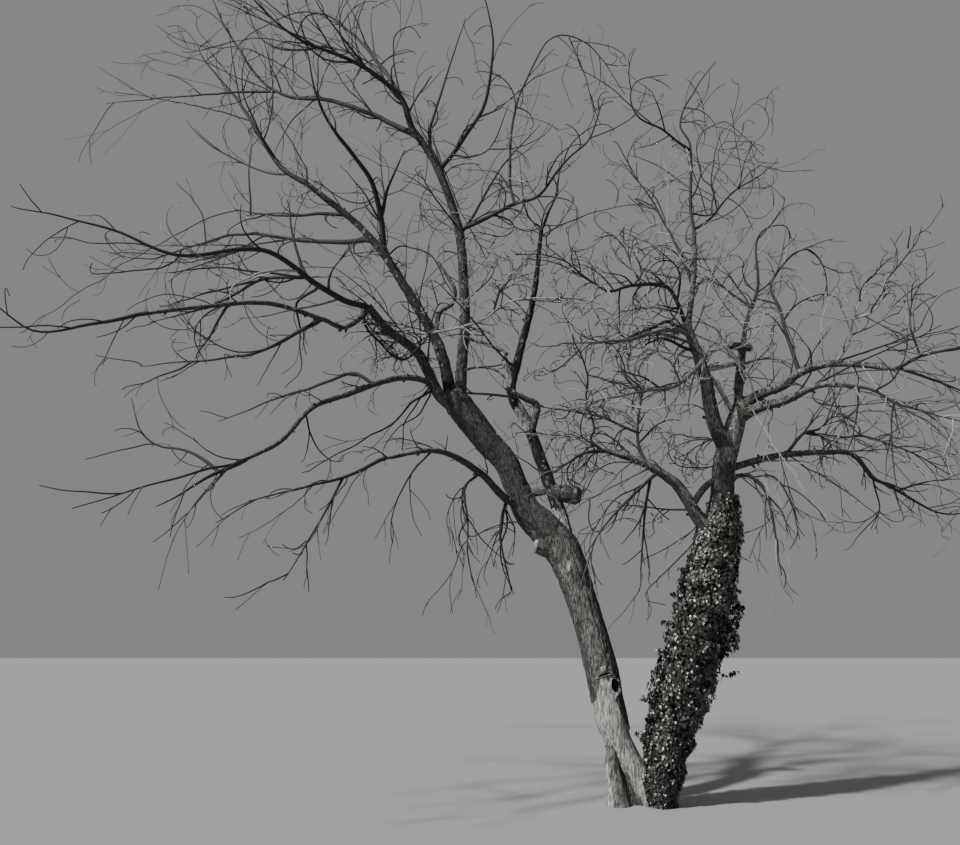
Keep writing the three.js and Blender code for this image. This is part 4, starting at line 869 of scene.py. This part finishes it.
        (18, 12, 0, [(2130, -600, 4400), (1940, -500, 4220)]),
    ]),
    "right_far_twigs": Mass(38, 520, 0, "level", 0.25, 0, [
        (42, 9, [(2580, -960, 4240), (2780, -1120, 4320), (3310, -1650, 4300)]),
        (34, 8, [(2600, -975, 4245), (2840, -1000, 4150), (3340, -1100, 3860)]),
        (26, 8, [(2770, -1100, 4310), (2730, -1080, 4700), (2920, -1020, 5120), (3110, -1000, 5290)]),
    ], [
        (14, 6, 2, [(2750, -1100, 4370), (2700, -1050, 4970)]),
        (12, 6, 1, [(2780, -1050, 4570), (2910, -1020, 5300), (2880, -1000, 5560)]),
        (18, 10, 2, [(2670, -1120, 4320), (2780, -1180, 4350), (2860, -1300, 4200)]),
        (18, 9, 2, [(2480, -960, 4270), (3110, -1000, 3890)]),
        (15, 7, 2, [(2300, -800, 4320), (2350, -1100, 3900), (2620, -1400, 3480)]),
    ]),
    "right_second_twigs": Mass(39, 480, 0.3, "streaming", 0.25, 0, [
        (36, 9, [(1890, -1250, 3970), (2000, -1500, 3850), (2090, -1850, 3600), (2260, -2450, 3270)]),
    ], [
        (16, 8, 1, [(1810, -1250, 3940), (2360, -1590, 3620), (2630, -1700, 3350)]),
        (14, 6, 0, [(1630, -1000, 4010), (1680, -980, 3880), (2020, -960, 3850), (3170, -900, 3920)]),
        (12, 7, 2, [(1280, -180, 4160), (1520, -1000, 2960)]),
    ]),
    "right_low_twigs": Mass(40, 620, 0.2, "level", 0.2, 0, [
        (52, 9, [(3310, 1280, 3560), (3660, 1480, 3460), (4440, 1900, 3210), (5200, 2250, 3260)]),
        (28, 8, [(3330, 1290, 3550), (3380, 1330, 3210), (3260, 1380, 2910)]),
    ], [
        (17, 7, 0, [(1880, 400, 3610), (2500, 650, 3390), (3270, 900, 2870)]),
    ]),
    "right_low_rise_twigs": Mass(41, 520, -0.1, "weeping", 0.25, 0, [
        (50, 9, [(1900, 400, 3650), (2170, 450, 3920), (2410, 500, 4010), (2680, 560, 4300)]),
        (46, 9, [(2200, 455, 3930), (2810, 900, 3990), (3210, 1100, 4040), (3920, 1450, 3930),
            (4640, 1850, 3700)]),
    ], [
        (15, 9, 0, [(2770, 800, 3980), (2370, 600, 3730)]),
        (12, 6, 1, [(3240, 1000, 4000), (4360, 1200, 3830)]),
        (12, 6, 0, [(2420, 500, 4010), (3130, 770, 4270), (3560, 900, 4230)]),
    ]),
    "ivy_side_twigs": Mass(42, 320, 0.2, "tangled", 0.07, 0, [
        (44, 9, [(-300, -370, 3520), (-540, -500, 3470), (-900, -700, 3210)]),
        (30, 8, [(-330, -385, 3520), (-440, -50, 3710), (-670, 150, 3810), (-1220, 550, 3950)]),
    ], []),
    "ivy_side_rise_twigs": Mass(43, 320, 0, "tangled", 0.07, 0, [
        (44, 9, [(130, -345, 3370), (70, -250, 3630), (110, -150, 3950), (250, 0, 4430)]),
        (34, 8, [(80, -210, 3760), (-270, -50, 3970), (-550, 100, 4080), (-1020, 400, 4250)]),
    ], [
        (22, 8, 1, [(900, -240, 3600), (640, -280, 3630), (460, -330, 3570), (320, -360, 3470),
            (260, -380, 3290)]),
        (16, 7, 0, [(900, -240, 3540), (620, -270, 3470), (520, -300, 3330), (570, -320, 3170)]),
        (16, 7, 1, [(900, -230, 3670), (530, -260, 3720), (380, -300, 3650), (220, -340, 3500)]),
        (18, 8, 0, [(900, -240, 3430), (610, -260, 3380), (450, -300, 3410), (370, -340, 3540),
            (410, -360, 3680)]),
        (32, 24, 0, [(-330, -370, 3540), (-450, -380, 3620), (-410, -400, 3720), (-490, -420, 4050)]),
        (24, 12, 0, [(-490, -420, 4050), (-470, -480, 4300), (-710, -700, 4850)]),
        (16, 8, 0, [(-610, -500, 4590), (-860, -580, 4350), (-970, -600, 4390)]),
        (18, 12, 0, [(-450, -430, 4370), (-20, -1050, 3970)]),
        (20, 10, 2, [(-200, -380, 3480), (-590, -420, 3640), (-990, -480, 3660), (-1450, -540, 3660)]),
        (24, 12, 0, [(-360, -380, 3560), (-570, -430, 3330), (-710, -460, 3140)]),
    ]),
    "ivy_side_hanging_twigs": Mass(44, 340, 0.5, "dangling", 0.07, 0, [
        (42, 9, [(240, -340, 3290), (-60, -480, 3020), (-370, -650, 2710), (-600, -760, 2390)]),
        (36, 9, [(150, -385, 3200), (110, -300, 2940), (30, -260, 2320), (0, -250, 2060)]),
    ], [
        (16, 8, 0, [(660, -200, 2760), (350, -260, 2540), (30, -300, 2370)]),
        (19, 8, 0, [(650, -220, 2740), (540, -280, 2500), (210, -340, 2200), (40, -360, 1990),
            (240, -360, 1920)]),
        (22, 8, 1, [(160, -300, 3320), (-60, -340, 3220), (-390, -400, 3080), (-780, -470, 2830)]),
        (18, 7, 0, [(170, -300, 3350), (-170, -340, 3400), (-410, -380, 3310), (-530, -400, 3090),
            (-710, -430, 2930)]),
        (20, 8, 0, [(110, -320, 3210), (-260, -380, 2990), (-490, -430, 2670), (-540, -450, 2440)]),
        (16, 7, 0, [(-490, -400, 2990), (-510, -400, 2700), (-430, -420, 2620), (-210, -440, 2860)]),
    ]),
    "right_hanging_twigs": Mass(45, 340, 0.5, "weeping", 0.2, 0, [
        (54, 8, [(1010, -150, 3160), (1120, -270, 3270), (1230, -350, 3240), (1350, -450, 3010),
            (1360, -520, 2510), (1370, -560, 2200)]),
        (26, 8, [(1240, -355, 3230), (1400, -540, 3200), (1500, -620, 2950), (1530, -700, 2540)]),
    ], [
        (14, 6, 0, [(1150, -270, 3250), (1380, -320, 2980), (1350, -350, 2770), (1010, -400, 2570)]),
        (12, 6, 0, [(1860, 340, 3550), (1860, 210, 3040), (1990, 160, 2870), (2030, 100, 2670)]),
    ]),
    "back_right_twigs": Mass(46, 700, -0.1, "sparse", 0.2, 0, [
        (68, 10, [(1930, 1500, 5500), (2100, 1700, 5950), (2320, 1850, 6410), (2450, 2000, 7290),
            (2920, 2150, 7560), (3060, 2220, 7260)]),
        (40, 9, [(2150, 1730, 6050), (1850, 2200, 6700), (1700, 2600, 7500)]),
    ], [
        (16, 7, 0, [(2040, 1450, 5670), (1560, 1300, 6260), (1670, 1200, 6760)]),
    ]),
}
TWIG_TIP = 9
TWIGS_PER_MASS = 5
TWIG_FREE_SPACE = 30
TWIG_LOWEST = 250
FINE_TWIG_SPACE = 6
FINE_TWIG_LOWEST = 300
BOX_MARGIN = 12
GOLDEN_TURN = 2.4
ARM_SIDES = 6
# The twigs off an arm, those off them, and the finest: points, sides, tip width and least length.
Order = namedtuple("Order", "points sides tip least")
ORDERS = {1: Order(15, 4, 7.6, 0), 2: Order(10, 3, 6.7, 100), 3: Order(7, 3, 5.8, 80)}
MASS_TWIG_SEED = 1000
BOUGH_TWIG_SEED = 500
# The crown's left part has bolder twigs and is thinned only higher up.
LEFT_CROWN_EDGE = -2500
BOLD = 1.35
THINNED_LEFT = (9000, 12000)
THINNED_RIGHT = (6600, 8600)
THINNED_BOUGH = (5200, 6600)
PIECE_EDGES = {"far_left": -4300, "left": -2900, "middle_left": -1200, "middle": 600, "right": 2300}
GREY_SHARE = 0.35
TWIG_COLOURS = {"dark": (0.017, 0.0165, 0.016), "grey": (0.10, 0.097, 0.092), "pale": (0.29, 0.28, 0.268)}
# How twigs grow: the gap between them on an arm, their length against the mass's reach, how far
# they lean from the arm, how much they curl, how much they droop, and the gap between finer ones.
Habit = namedtuple("Habit", "gap length lean curl droop finer_gap")
HABITS = {
    "bare": Habit(430, 1.6, 0.30, 0.5, 0.0, 900),
    "open": Habit(270, 1.7, 0.35, 0.75, 0.0, 800),
    "curly": Habit(135, 1.2, 0.50, 1.0, 0.0, 180),
    "looping": Habit(200, 1.7, 0.40, 1.1, 0.0, 520),
    "dangling": Habit(210, 1.5, 0.20, 0.5, 0.25, 500),
    "tangled": Habit(95, 1.35, 0.5, 1.0, 0.0, 170),
    "sparse": Habit(220, 1.1, 0.45, 0.9, 0.0, 300),
    "weeping": Habit(130, 1.2, 0.25, 0.5, 0.15, 330),
    "streaming": Habit(150, 1.7, 0.35, 0.65, 0.12, 480),
    "fanning": Habit(70, 1.7, 0.35, 0.5, 0.30, 420),
    "level": Habit(190, 0.9, 0.30, 0.6, -0.05, 420),
}


def add_tubes(pile, lines, roots, tips, sides, slots):
    """Thin tapering twigs, all with the same number of points, each with a closed tip."""
    lines = np.array(lines)
    slots = np.array(slots)
    many, points = lines.shape[:2]
    far = np.linspace(0, 1, points)
    radii = (np.array(roots)[:, None] * (1 - far) + np.array(tips)[:, None] * far) / 2
    walls = wall_faces(points, sides)
    starts = np.arange(many)[:, None, None] * points * sides
    pile.add(lines[:, :, None] + rings(lines, sides) * radii[..., None, None],
             (walls + starts).reshape(-1, 4), np.repeat(slots, len(walls)))
    pile.add_faces(np.arange(sides) + (points - 1) * sides + starts[:, 0], slots)


def straight_runs(stations, width=None):
    """The straight stretches of a limb: both ends of each, and half the limb's width."""
    return [[*one[:3], *two[:3], (width or max(one[3], two[3])) / 2]
            for one, two in zip(stations, stations[1:])]


limb_runs = [straight_runs(bough.stations, bough.root) for bough in BOUGHS.values()]
limb_runs += [straight_runs(stations) for stations in (LEFT_STEM, RIGHT_STEM, LOG_STUB)]
run_owners = [""] * sum(len(part) for part in limb_runs)
for name, mass in MASSES.items():
    for root, _, stations in mass.arms:
        limb_runs.append(straight_runs(stations, root))
        run_owners += [name] * len(limb_runs[-1])
runs = np.concatenate(limb_runs)
run_owners = np.array(run_owners)
of_limb = run_owners == ""
run_ways = runs[:, 3:6] - runs[:, :3]
run_squares = np.sum(run_ways ** 2, axis=1)
low_mm = np.array(cad_low) / MM + BOX_MARGIN
high_mm = np.array(cad_high) / MM - BOX_MARGIN


def gaps(line):
    """Distance from each point of a line to every straight run of the limbs and arms."""
    off = line[:, None] - runs[None, :, :3]
    share = np.clip(np.sum(off * run_ways, axis=2) / run_squares, 0, 1)
    return np.linalg.norm(off - share[..., None] * run_ways, axis=2)


def has_room(line, owner, radius):
    """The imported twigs' own test: clear of every limb, and nearest to its own mass."""
    far = gaps(line[1:])
    if np.any(far[:, of_limb] < runs[of_limb, 6] + radius + TWIG_FREE_SPACE):
        return False
    own = far[:, run_owners == owner].min(axis=1)
    other = far[:, ~of_limb & (run_owners != owner)].min(axis=1)
    return bool(np.all(own <= other - TWIG_FREE_SPACE) and np.all(line[1:, 2] >= TWIG_LOWEST))


def room_for(line, owner, radius, reach, skip):
    """How many points of a finer twig are clear of the limbs and inside its own mass's space."""
    good = np.all((line > low_mm) & (line < high_mm), axis=1) & (line[:, 2] > FINE_TWIG_LOWEST)
    far = gaps(line)
    clear = np.all(far[:, of_limb] > runs[of_limb, 6] + radius + FINE_TWIG_SPACE, axis=1)
    good &= clear | (np.linalg.norm(line - line[0], axis=1) < skip)
    if owner:
        good &= far[:, run_owners == owner].min(axis=1) < reach
    return len(line) if good.all() else int(np.argmin(good))


def set_off(draw, way, side, least, more):
    """The slanting direction in which a twig leaves its parent, and the axis that it curls about."""
    slant = least + more * draw()
    heading = way * math.cos(slant) + side * math.sin(slant)
    axis = turned(unit(np.cross(heading, [0.2, -0.5, 1])), heading, draw() * 2 * math.pi)
    return heading, axis


def packed_twig(draw, start, way, side, length, fall):
    """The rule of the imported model's twigs: off at a slant, then curling one way."""
    heading, axis = set_off(draw, way, side, 0.7, 0.5)
    turn = (0.5 + 2.4 * draw()) * (-1 if draw() < 0.5 else 1)
    line = [start]
    for i in range(4):
        heading = turned(heading, axis, turn / 4 * (0.5 + i / 4))
        heading = unit(heading - np.array([0, 0, fall / 4]))
        line.append(line[-1] + heading * length / 4)
    return np.array(line)


def curling_twig(draw, start, way, side, length, fall, steps, habit):
    """The same rule carried to finer twigs, in smaller steps with a kink here and there."""
    heading, axis = set_off(draw, way, side, habit.lean, 0.55)
    turn = habit.curl * (0.3 + 2.9 * draw()) * (-1 if draw() < 0.5 else 1)
    line = [start]
    for i in range(steps):
        kink = 0.5 * (draw() - 0.5) if draw() < 0.2 else 0
        heading = turned(heading, axis, kink + turn / steps * (0.4 + 1.2 * i / steps))
        waver = np.array([draw() - 0.5, draw() - 0.5, draw() - 0.5]) * 0.2
        heading = unit(heading + waver - np.array([0, 0, 1.4 * (fall + habit.droop) / steps]))
        line.append(line[-1] + heading * length / steps)
    return np.array(line)


def smooth(line, count):
    at = bend_line(line)
    return np.array([at(share) for share in np.linspace(0, 1, count)])


twig_bins = {}


def note_twig(group, sides, line, root, tip, slot):
    """Keeps a twig for its joined piece, with those that have as many points and sides."""
    twig_bins.setdefault((group, sides, len(line)), []).append((line, root, tip, slot))


# What the twigs of one mass or bough share: their draws, joined piece, own mass if they have to stay
# by it, how far from it they may reach, fall, habit and the share of pale ones.
Spray = namedtuple("Spray", "draw group owner reach fall habit pale")


def grow(spray, parent, share, k, length, thick, slot, order=1, skip=60):
    """One twig from its parent, cut short where it would meet a limb, and finer ones along it."""
    at = share * (len(parent) - 1)
    i = min(int(at), len(parent) - 2)
    start = parent[i] + (parent[i + 1] - parent[i]) * (at - i)
    way = unit(parent[i + 1] - parent[i])
    side = side_at(way, k * GOLDEN_TURN + spray.draw())
    points, sides, tip, _ = ORDERS[order]
    line = curling_twig(spray.draw, start, way, side, length, spray.fall, points - 1, spray.habit)
    good = room_for(line, spray.owner, thick / 2, spray.reach, skip)
    if good < 0.45 * (points - 1):
        return
    if good < points:
        line = smooth(line[:good], points)
        length *= good / points
    note_twig(spray.group, sides, line, thick, tip, slot)
    if order < 3:
        branch_out(spray, line, length, thick, slot, order + 1)


def branch_out(spray, parent, length, thick, slot, order):
    """Finer twigs along a twig."""
    draw = spray.draw
    count = int(length / (spray.habit.finer_gap * (1 if order == 2 else 1.5)) + draw())
    for k in range(count):
        share = 0.15 + 0.83 * (k + draw()) / count
        far = length * (0.35 + 0.5 * draw()) * (1 - 0.3 * share)
        root = max(0.7 * thick * (1 - 0.35 * share), 8)
        if far > ORDERS[order].least:
            grow(spray, parent, share, k, far, root, slot, order, skip=20)


def tone_of(spray):
    pick = spray.draw()
    return 2 if pick < spray.pale else 1 if pick < spray.pale + GREY_SHARE else 0


def is_grown(draw, line, share, thinned):
    """Leaves out more of the twigs the higher they stand."""
    return draw() < np.interp(line[int(share * (len(line) - 1))][2], thinned, [1, 0.4])


def group_at(x):
    """Which joined piece a twig goes to, by how far across the crown it grows."""
    return next((name for name, edge in PIECE_EDGES.items() if x < edge), "far_right")


def wavy(stations, step, amount, span, seed):
    """A limb's line that wavers a little between its two ends, and its length."""
    line, _, far = even_line(stations, step)
    waver = np.stack([noise(line / span + 5 * axis + seed) - 0.5 for axis in range(3)], axis=1)
    line[1:-1] += amount * waver[1:-1]
    return line, far


def wavy_arm(stations, seed):
    return wavy(stations, step=75, amount=26, span=260, seed=seed)


carriers = [even_line(bough.stations, 60)[0] for bough in BOUGHS.values()]
carriers += [even_line(table, 60)[0] for table in (LEFT_STEM, RIGHT_STEM)]
for mass in MASSES.values():
    carriers += [wavy_arm(stations, mass.seed)[0] for _, _, stations in mass.arms]


def seated(stations):
    """The stations of a long twig, its foot drawn onto the limb or twig nearest to it."""
    spots = np.array(stations, dtype=float)
    starts = np.concatenate([line[:-1] for line in carriers])
    ways = np.concatenate([np.diff(line, axis=0) for line in carriers])
    share = np.clip(np.sum((spots[0] - starts) * ways, axis=1) / np.sum(ways ** 2, axis=1), 0, 1)
    near = starts + share[:, None] * ways
    foot = near[np.argmin(np.linalg.norm(spots[0] - near, axis=1))]
    if len(spots) > 2:
        spots[1] += 0.4 * (foot - spots[0])
    spots[0] = foot
    return spots


twig_groups = {}
for name, mass in MASSES.items():
    middle = np.mean([np.mean(stations, axis=0)[0] for _, _, stations in mass.arms])
    bold, thinned = (BOLD, THINNED_LEFT) if middle < LEFT_CROWN_EDGE else (1, THINNED_RIGHT)
    packed = seeded(mass.seed)
    draw = seeded(mass.seed + MASS_TWIG_SEED)
    habit = HABITS[mass.habit]
    free = Spray(draw, group_at(middle), "", 0, mass.fall, habit, mass.pale)
    kept_near = free._replace(owner=name, reach=1.5 * mass.reach)
    twig_groups.setdefault(free.group, []).append(name)
    for root, tip, tone, stations in mass.long_twigs:
        line, far = wavy(seated(stations), step=60, amount=60, span=220, seed=root)
        line = np.clip(line, low_mm, high_mm)
        carriers.append(line)
        note_twig(free.group, ARM_SIDES, line, bold * root, bold * tip, tone)
        extra = int(0.75 * far / habit.gap + draw())
        for k in range(extra):
            share = 0.1 + 0.88 * (k + draw()) / extra
            length = habit.length * mass.reach * (0.3 + 0.8 * draw() ** 1.5)
            thick = max(0.6 * between(root, tip, share), 7)
            if is_grown(draw, line, share, thinned):
                grow(free, line, share, k, length, thick, tone)
    arm_lengths = [along(np.array(stations))[-1] for _, _, stations in mass.arms]
    for (root, tip, stations), long in zip(mass.arms, arm_lengths):
        at = bend_line(stations)
        line, far = wavy_arm(stations, mass.seed)
        note_twig(free.group, ARM_SIDES, line, bold * root, tip, mass.arm_tone)
        count = max(1, int(TWIGS_PER_MASS * long / sum(arm_lengths) + 0.5))
        packed_twigs = []
        for i in range(count):
            share = 0.12 + 0.8 * (i + 0.7 * packed()) / count
            start, way = start_at(at, share)
            side = side_at(way, i * GOLDEN_TURN + packed())
            length = mass.reach * (0.65 + 0.6 * packed()) * (1 - 0.35 * share)
            thick = max(0.55 * between(root, tip, share), TWIG_TIP + 3)
            rough = packed_twig(packed, start, way, side, length, mass.fall)
            if has_room(rough, name, thick / 2):
                packed_twigs.append((smooth(rough, ORDERS[1].points), length, thick))
        extra = int(far / habit.gap)
        for k in range(extra):
            share = 0.05 + 0.94 * (k + draw()) / extra
            length = habit.length * mass.reach * (0.45 + 1.4 * draw() ** 1.5) * (1 - 0.3 * share)
            thick = min(14 + 0.016 * length, max(0.7 * between(root, tip, share), 15))
            if is_grown(draw, line, share, thinned):
                grow(kept_near, line, share, k, length, thick, tone_of(kept_near))
        for twig, length, thick in packed_twigs:
            slot = tone_of(kept_near)
            note_twig(free.group, ORDERS[1].sides, twig, thick, TWIG_TIP, slot)
            branch_out(kept_near, twig, length, thick, slot, 2)

for number, bough in enumerate(BOUGHS.values()):
    draw = seeded(BOUGH_TWIG_SEED + number)
    line, _, far = even_line(bough.stations, 60)
    habit = HABITS[bough.habit]
    spray = Spray(draw, group_at(line[-1][0]), "", 0, 0, habit, bough.pale)
    count = int(far / (1.2 * habit.gap))
    for k in range(count):
        share = 0.2 + 0.79 * (k + draw()) / count
        length = habit.length * (220 + 800 * draw() ** 1.5)
        thick = min(12 + 0.014 * length, 25)
        if is_grown(draw, line, share, THINNED_BOUGH):
            grow(spray, line, share, k, length, thick, tone_of(spray), skip=bough.root)


def one_tone(name, colour, **grain):
    """One plain colour with a fine raised grain."""
    material, shader, _ = grained(name, (1, 1, 1), **grain)
    shader.inputs["Base Color"].default_value = (*colour, 1)
    return material


twig_materials = [
    one_tone("twig_" + tone, colour, scale=160, detail=3, bump=0.6, depth=0.002, rough=0.8, shine=0.5)
    for tone, colour in TWIG_COLOURS.items()]
for group, names in twig_groups.items():
    pile = Pile()
    for (where, sides, _), twigs in twig_bins.items():
        if where == group:
            lines, roots, tips, slots = zip(*twigs)
            add_tubes(pile, lines, roots, tips, sides, slots)
    piece = pile.piece(group + "_twigs_fine", twig_materials)
    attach(piece, "root")
    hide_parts(*names)

# The ivy.
# A thick sleeve of living ivy round the right stem, from the ground up to the fork. Its stems and
# inner leaves make a dark lumpy core, and glossy five-lobed leaves hang over it like tiles.
IVY_WIDTHS = [
    (160, -60, 10, 290), (178, -65, 290, 370), (205, -70, 480, 470), (255, -75, 660, 500),
    (365, -90, 950, 630), (425, -100, 1090, 660), (505, -120, 1330, 680), (650, -130, 1630, 690),
    (710, -140, 1900, 650), (760, -150, 2190, 585), (820, -155, 2440, 530), (895, -160, 2710, 450),
    (970, -160, 2940, 360), (1000, -160, 3110, 280),
]
# Sprigs that stand out of the sleeve: height, bearing and length.
IVY_SPRIGS = [
    (1980, 3.4, 150), (1700, 3.3, 180), (960, 3.5, 180), (640, 3.3, 130), (590, 3.6, 120), (1190, -0.2, 260),
    (1850, 0, 150), (1420, 3.4, 130), (2250, 3.3, 110), (1560, -0.3, 120),
]
SPRIG_LEAVES = 26
CORE_SHARE = 0.74
CORE_LOW = 4
CORE_TOP = 3105
CORE_NECK = 3060
CORE_RINGS = 90
CORE_SIDES = 48
LEAF_COUNT = 12500
LEAF_LOW = 20
LEAF_TOP = 3090
LEAF_LENGTH = (27, 49)
THIN_ABOVE = 2700
# Fewer leaves are pale halfway up, and more near the top, where the sun reaches in.
LEAF_TONES = [900, 1300, 1800, 2200, 2700], [0, -0.10, -0.06, 0.12, 0.42]
IVY_COLOURS = {"dark": (0.012, 0.015, 0.011), "green": (0.034, 0.040, 0.031), "light": (0.13, 0.14, 0.118)}
LEAF_OUTLINE = np.array([
    (0, 0), (0.30, 0.02), (0.46, 0.20), (0.30, 0.36), (0.52, 0.58), (0.24, 0.64), (0, 1),
    (-0.24, 0.64), (-0.52, 0.58), (-0.30, 0.36), (-0.46, 0.20), (-0.30, 0.02),
])
ivy_table = np.array(IVY_WIDTHS, dtype=float)


def ivy_at(z):
    """The middle of the sleeve and its width at a height."""
    across, deep, wide = [np.interp(z, ivy_table[:, 2], ivy_table[:, k]) for k in (0, 1, 3)]
    return np.stack([across, deep, z], axis=-1), wide


def around(bearing):
    return np.stack([np.cos(bearing), np.sin(bearing), np.zeros(len(bearing))], axis=1)


def units(ways):
    return ways / np.linalg.norm(ways, axis=1)[:, None]


heights = np.linspace(CORE_LOW, CORE_TOP, CORE_RINGS)
middle, wide = ivy_at(heights)
outs = around(2 * np.pi * np.arange(CORE_SIDES) / CORE_SIDES)
half = (wide / 2 * CORE_SHARE * np.where(heights > CORE_NECK, 0.8, 1))[:, None]
spots = middle[:, None] + outs[None] * half[..., None]
half = half * (0.80 + 0.40 * lumps(spots, 90)) + 16 * (lumps(spots, 26) - 0.5)
spots = middle[:, None] + outs[None] * half[..., None]
sleeve = Pile()
sleeve.add(spots, wall_faces(CORE_RINGS, CORE_SIDES))
sleeve.add(spots[-1], np.arange(CORE_SIDES)[None])
ivy_core = weathered("ivy_core", (0.008, 0.010, 0.008), (0.045, 0.050, 0.040), 45, 1, 0.85, 0.9)
sleeve_piece = sleeve.piece("ivy_sleeve", [ivy_core])
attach(sleeve_piece, "root")
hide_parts("ivy_foot", "ivy_lower", "ivy_upper", "ivy_top")

draws = np.random.default_rng(77)
z = between(LEAF_LOW, LEAF_TOP, (np.arange(LEAF_COUNT) + draws.random(LEAF_COUNT)) / LEAF_COUNT)
share = draws.random(LEAF_COUNT)
z = np.interp(z, [LEAF_LOW, 700, LEAF_TOP], [LEAF_LOW, 640, LEAF_TOP])
middle, wide = ivy_at(z)
out = around(np.arange(LEAF_COUNT) * GOLDEN_TURN + 0.6 * draws.random(LEAF_COUNT))
far = wide / 2 * (0.59 + 0.47 * lumps(middle + out * wide[:, None] / 2, 115) + 0.13 * share)
thinner = 1 - 0.5 * (z - THIN_ABOVE) / 400 * draws.random(LEAF_COUNT)
roots = middle + out * np.where(z > THIN_ABOVE, far * thinner, far)[:, None]
sprig_roots, sprig_outs = [], []
for height, turn, long in IVY_SPRIGS:
    place, width = ivy_at(height)
    way = np.array([math.cos(turn), math.sin(turn), 0.15])
    for k in range(SPRIG_LEAVES):
        spread = (draws.random(3) - 0.5) * 90 * (1 - k / 40)
        sprig_roots.append(place + way * (0.40 * width + long * k / SPRIG_LEAVES) + spread)
        sprig_outs.append(unit(way + (draws.random(3) - 0.5) * 1.6))
roots = np.concatenate([roots, sprig_roots])
out = np.concatenate([out, sprig_outs])
count = len(roots)
face = units(out + np.array([0, 0, 0.45]) + (draws.random((count, 3)) - 0.5) * 1.15)
hang = np.array([0, 0, -1.0]) + (draws.random((count, 3)) - 0.5) * 1.3
hang = units(hang - face * np.sum(face * hang, axis=1)[:, None])
aside = np.cross(hang, face)
size = between(*LEAF_LENGTH, draws.random(count))[:, None, None]
fold = (np.abs(LEAF_OUTLINE[:, 0]) * 0.30 - LEAF_OUTLINE[:, 1] ** 2 * 0.22)[None, :, None]
flat = LEAF_OUTLINE[None] * size
rim = (roots[:, None] + aside[:, None] * flat[..., :1] + hang[:, None] * flat[..., 1:]
       + face[:, None] * (fold * size))
heart = roots[:, None] + hang[:, None] * (0.42 * size) - face[:, None] * (0.03 * size)
leaf_spots = np.concatenate([rim, heart], axis=1)
leaf_spots[..., 2] = np.maximum(leaf_spots[..., 2], 2)
points = len(LEAF_OUTLINE)
k = np.arange(points)
fan = np.stack([k, (k + 1) % points, np.full(points, points)], axis=1)
leaf_faces = (fan + (points + 1) * np.arange(count)[:, None, None]).reshape(-1, 3)
# Random and patchy tones, with more light leaves on the left, toward the sun, and near the top: the light
# tone is partly painted sunlight.
tone = draws.random(count) * 0.75 + lumps(roots, 120, 9) * 0.5 - 0.10 * out[:, 0]
tone += np.interp(roots[:, 2], *LEAF_TONES)
leaves = Pile()
leaves.add(leaf_spots, leaf_faces, np.repeat(np.where(tone > 0.97, 2, np.where(tone > 0.55, 1, 0)), points))
leaf_materials = [
    one_tone("ivy_leaf_" + tone, colour, scale=60, detail=2, bump=0.35, depth=0.003, rough=0.34, shine=0.6)
    for tone, colour in IVY_COLOURS.items()]
leaf_piece = leaves.piece("ivy_leaves", leaf_materials, smooth=False)
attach(leaf_piece, "root")
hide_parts("ivy_foot", "ivy_lower", "ivy_upper", "ivy_top")

# The floor, the light and the camera.
# A plain pale floor and an even pale surround, with one soft sun from high on the left and in
# front. The camera stands where the photographer stood, at eye height, and looks up a little.
FLOOR_EDGE = 60.0
FLOOR_DROP = 0.002
FLOOR_GREY = (0.30, 0.30, 0.30, 1)
SURROUND_GREY = (0.24, 0.245, 0.25, 1)
EYE_HEIGHT = 1.600
CAMERA_TILT = 15.076
corners = [(-1, -1), (1, -1), (1, 1), (-1, 1)]
floor_mesh = bpy.data.meshes.new("floor")
floor_mesh.from_pydata([(x * FLOOR_EDGE, y * FLOOR_EDGE, 0) for x, y in corners], [], [(0, 1, 2, 3)])
floor_piece = bpy.data.objects.new("floor", floor_mesh)
floor_piece.location = (0, 0, -FLOOR_DROP)
bpy.context.scene.collection.objects.link(floor_piece)
floor_material = bpy.data.materials.new("floor")
floor_material.use_nodes = True
floor_shader = floor_material.node_tree.nodes["Principled BSDF"]
floor_shader.inputs["Base Color"].default_value = FLOOR_GREY
floor_shader.inputs["Roughness"].default_value = 0.9
floor_mesh.materials.append(floor_material)

world = bpy.data.worlds.new("pale_surround")
world.use_nodes = True
world.node_tree.nodes["Background"].inputs["Color"].default_value = SURROUND_GREY
world.node_tree.nodes["Background"].inputs["Strength"].default_value = 1.0
bpy.context.scene.world = world

sun = bpy.data.lights.new("sun", "SUN")
sun.energy = 5.2
sun.angle = math.radians(3)
sun_object = bpy.data.objects.new("sun", sun)
sun_object.rotation_euler = (math.radians(48), 0, math.radians(-55))
bpy.context.scene.collection.objects.link(sun_object)

camera = bpy.data.cameras.new("camera")
camera.lens = 30
camera.sensor_width = 36
camera.sensor_fit = "HORIZONTAL"
camera.clip_end = 300
camera_object = bpy.data.objects.new("camera", camera)
camera_object.location = (-1.637, -8.652, EYE_HEIGHT)
camera_object.rotation_euler = (math.radians(90 + CAMERA_TILT), 0, 0)
bpy.context.scene.collection.objects.link(camera_object)
bpy.context.scene.camera = camera_object
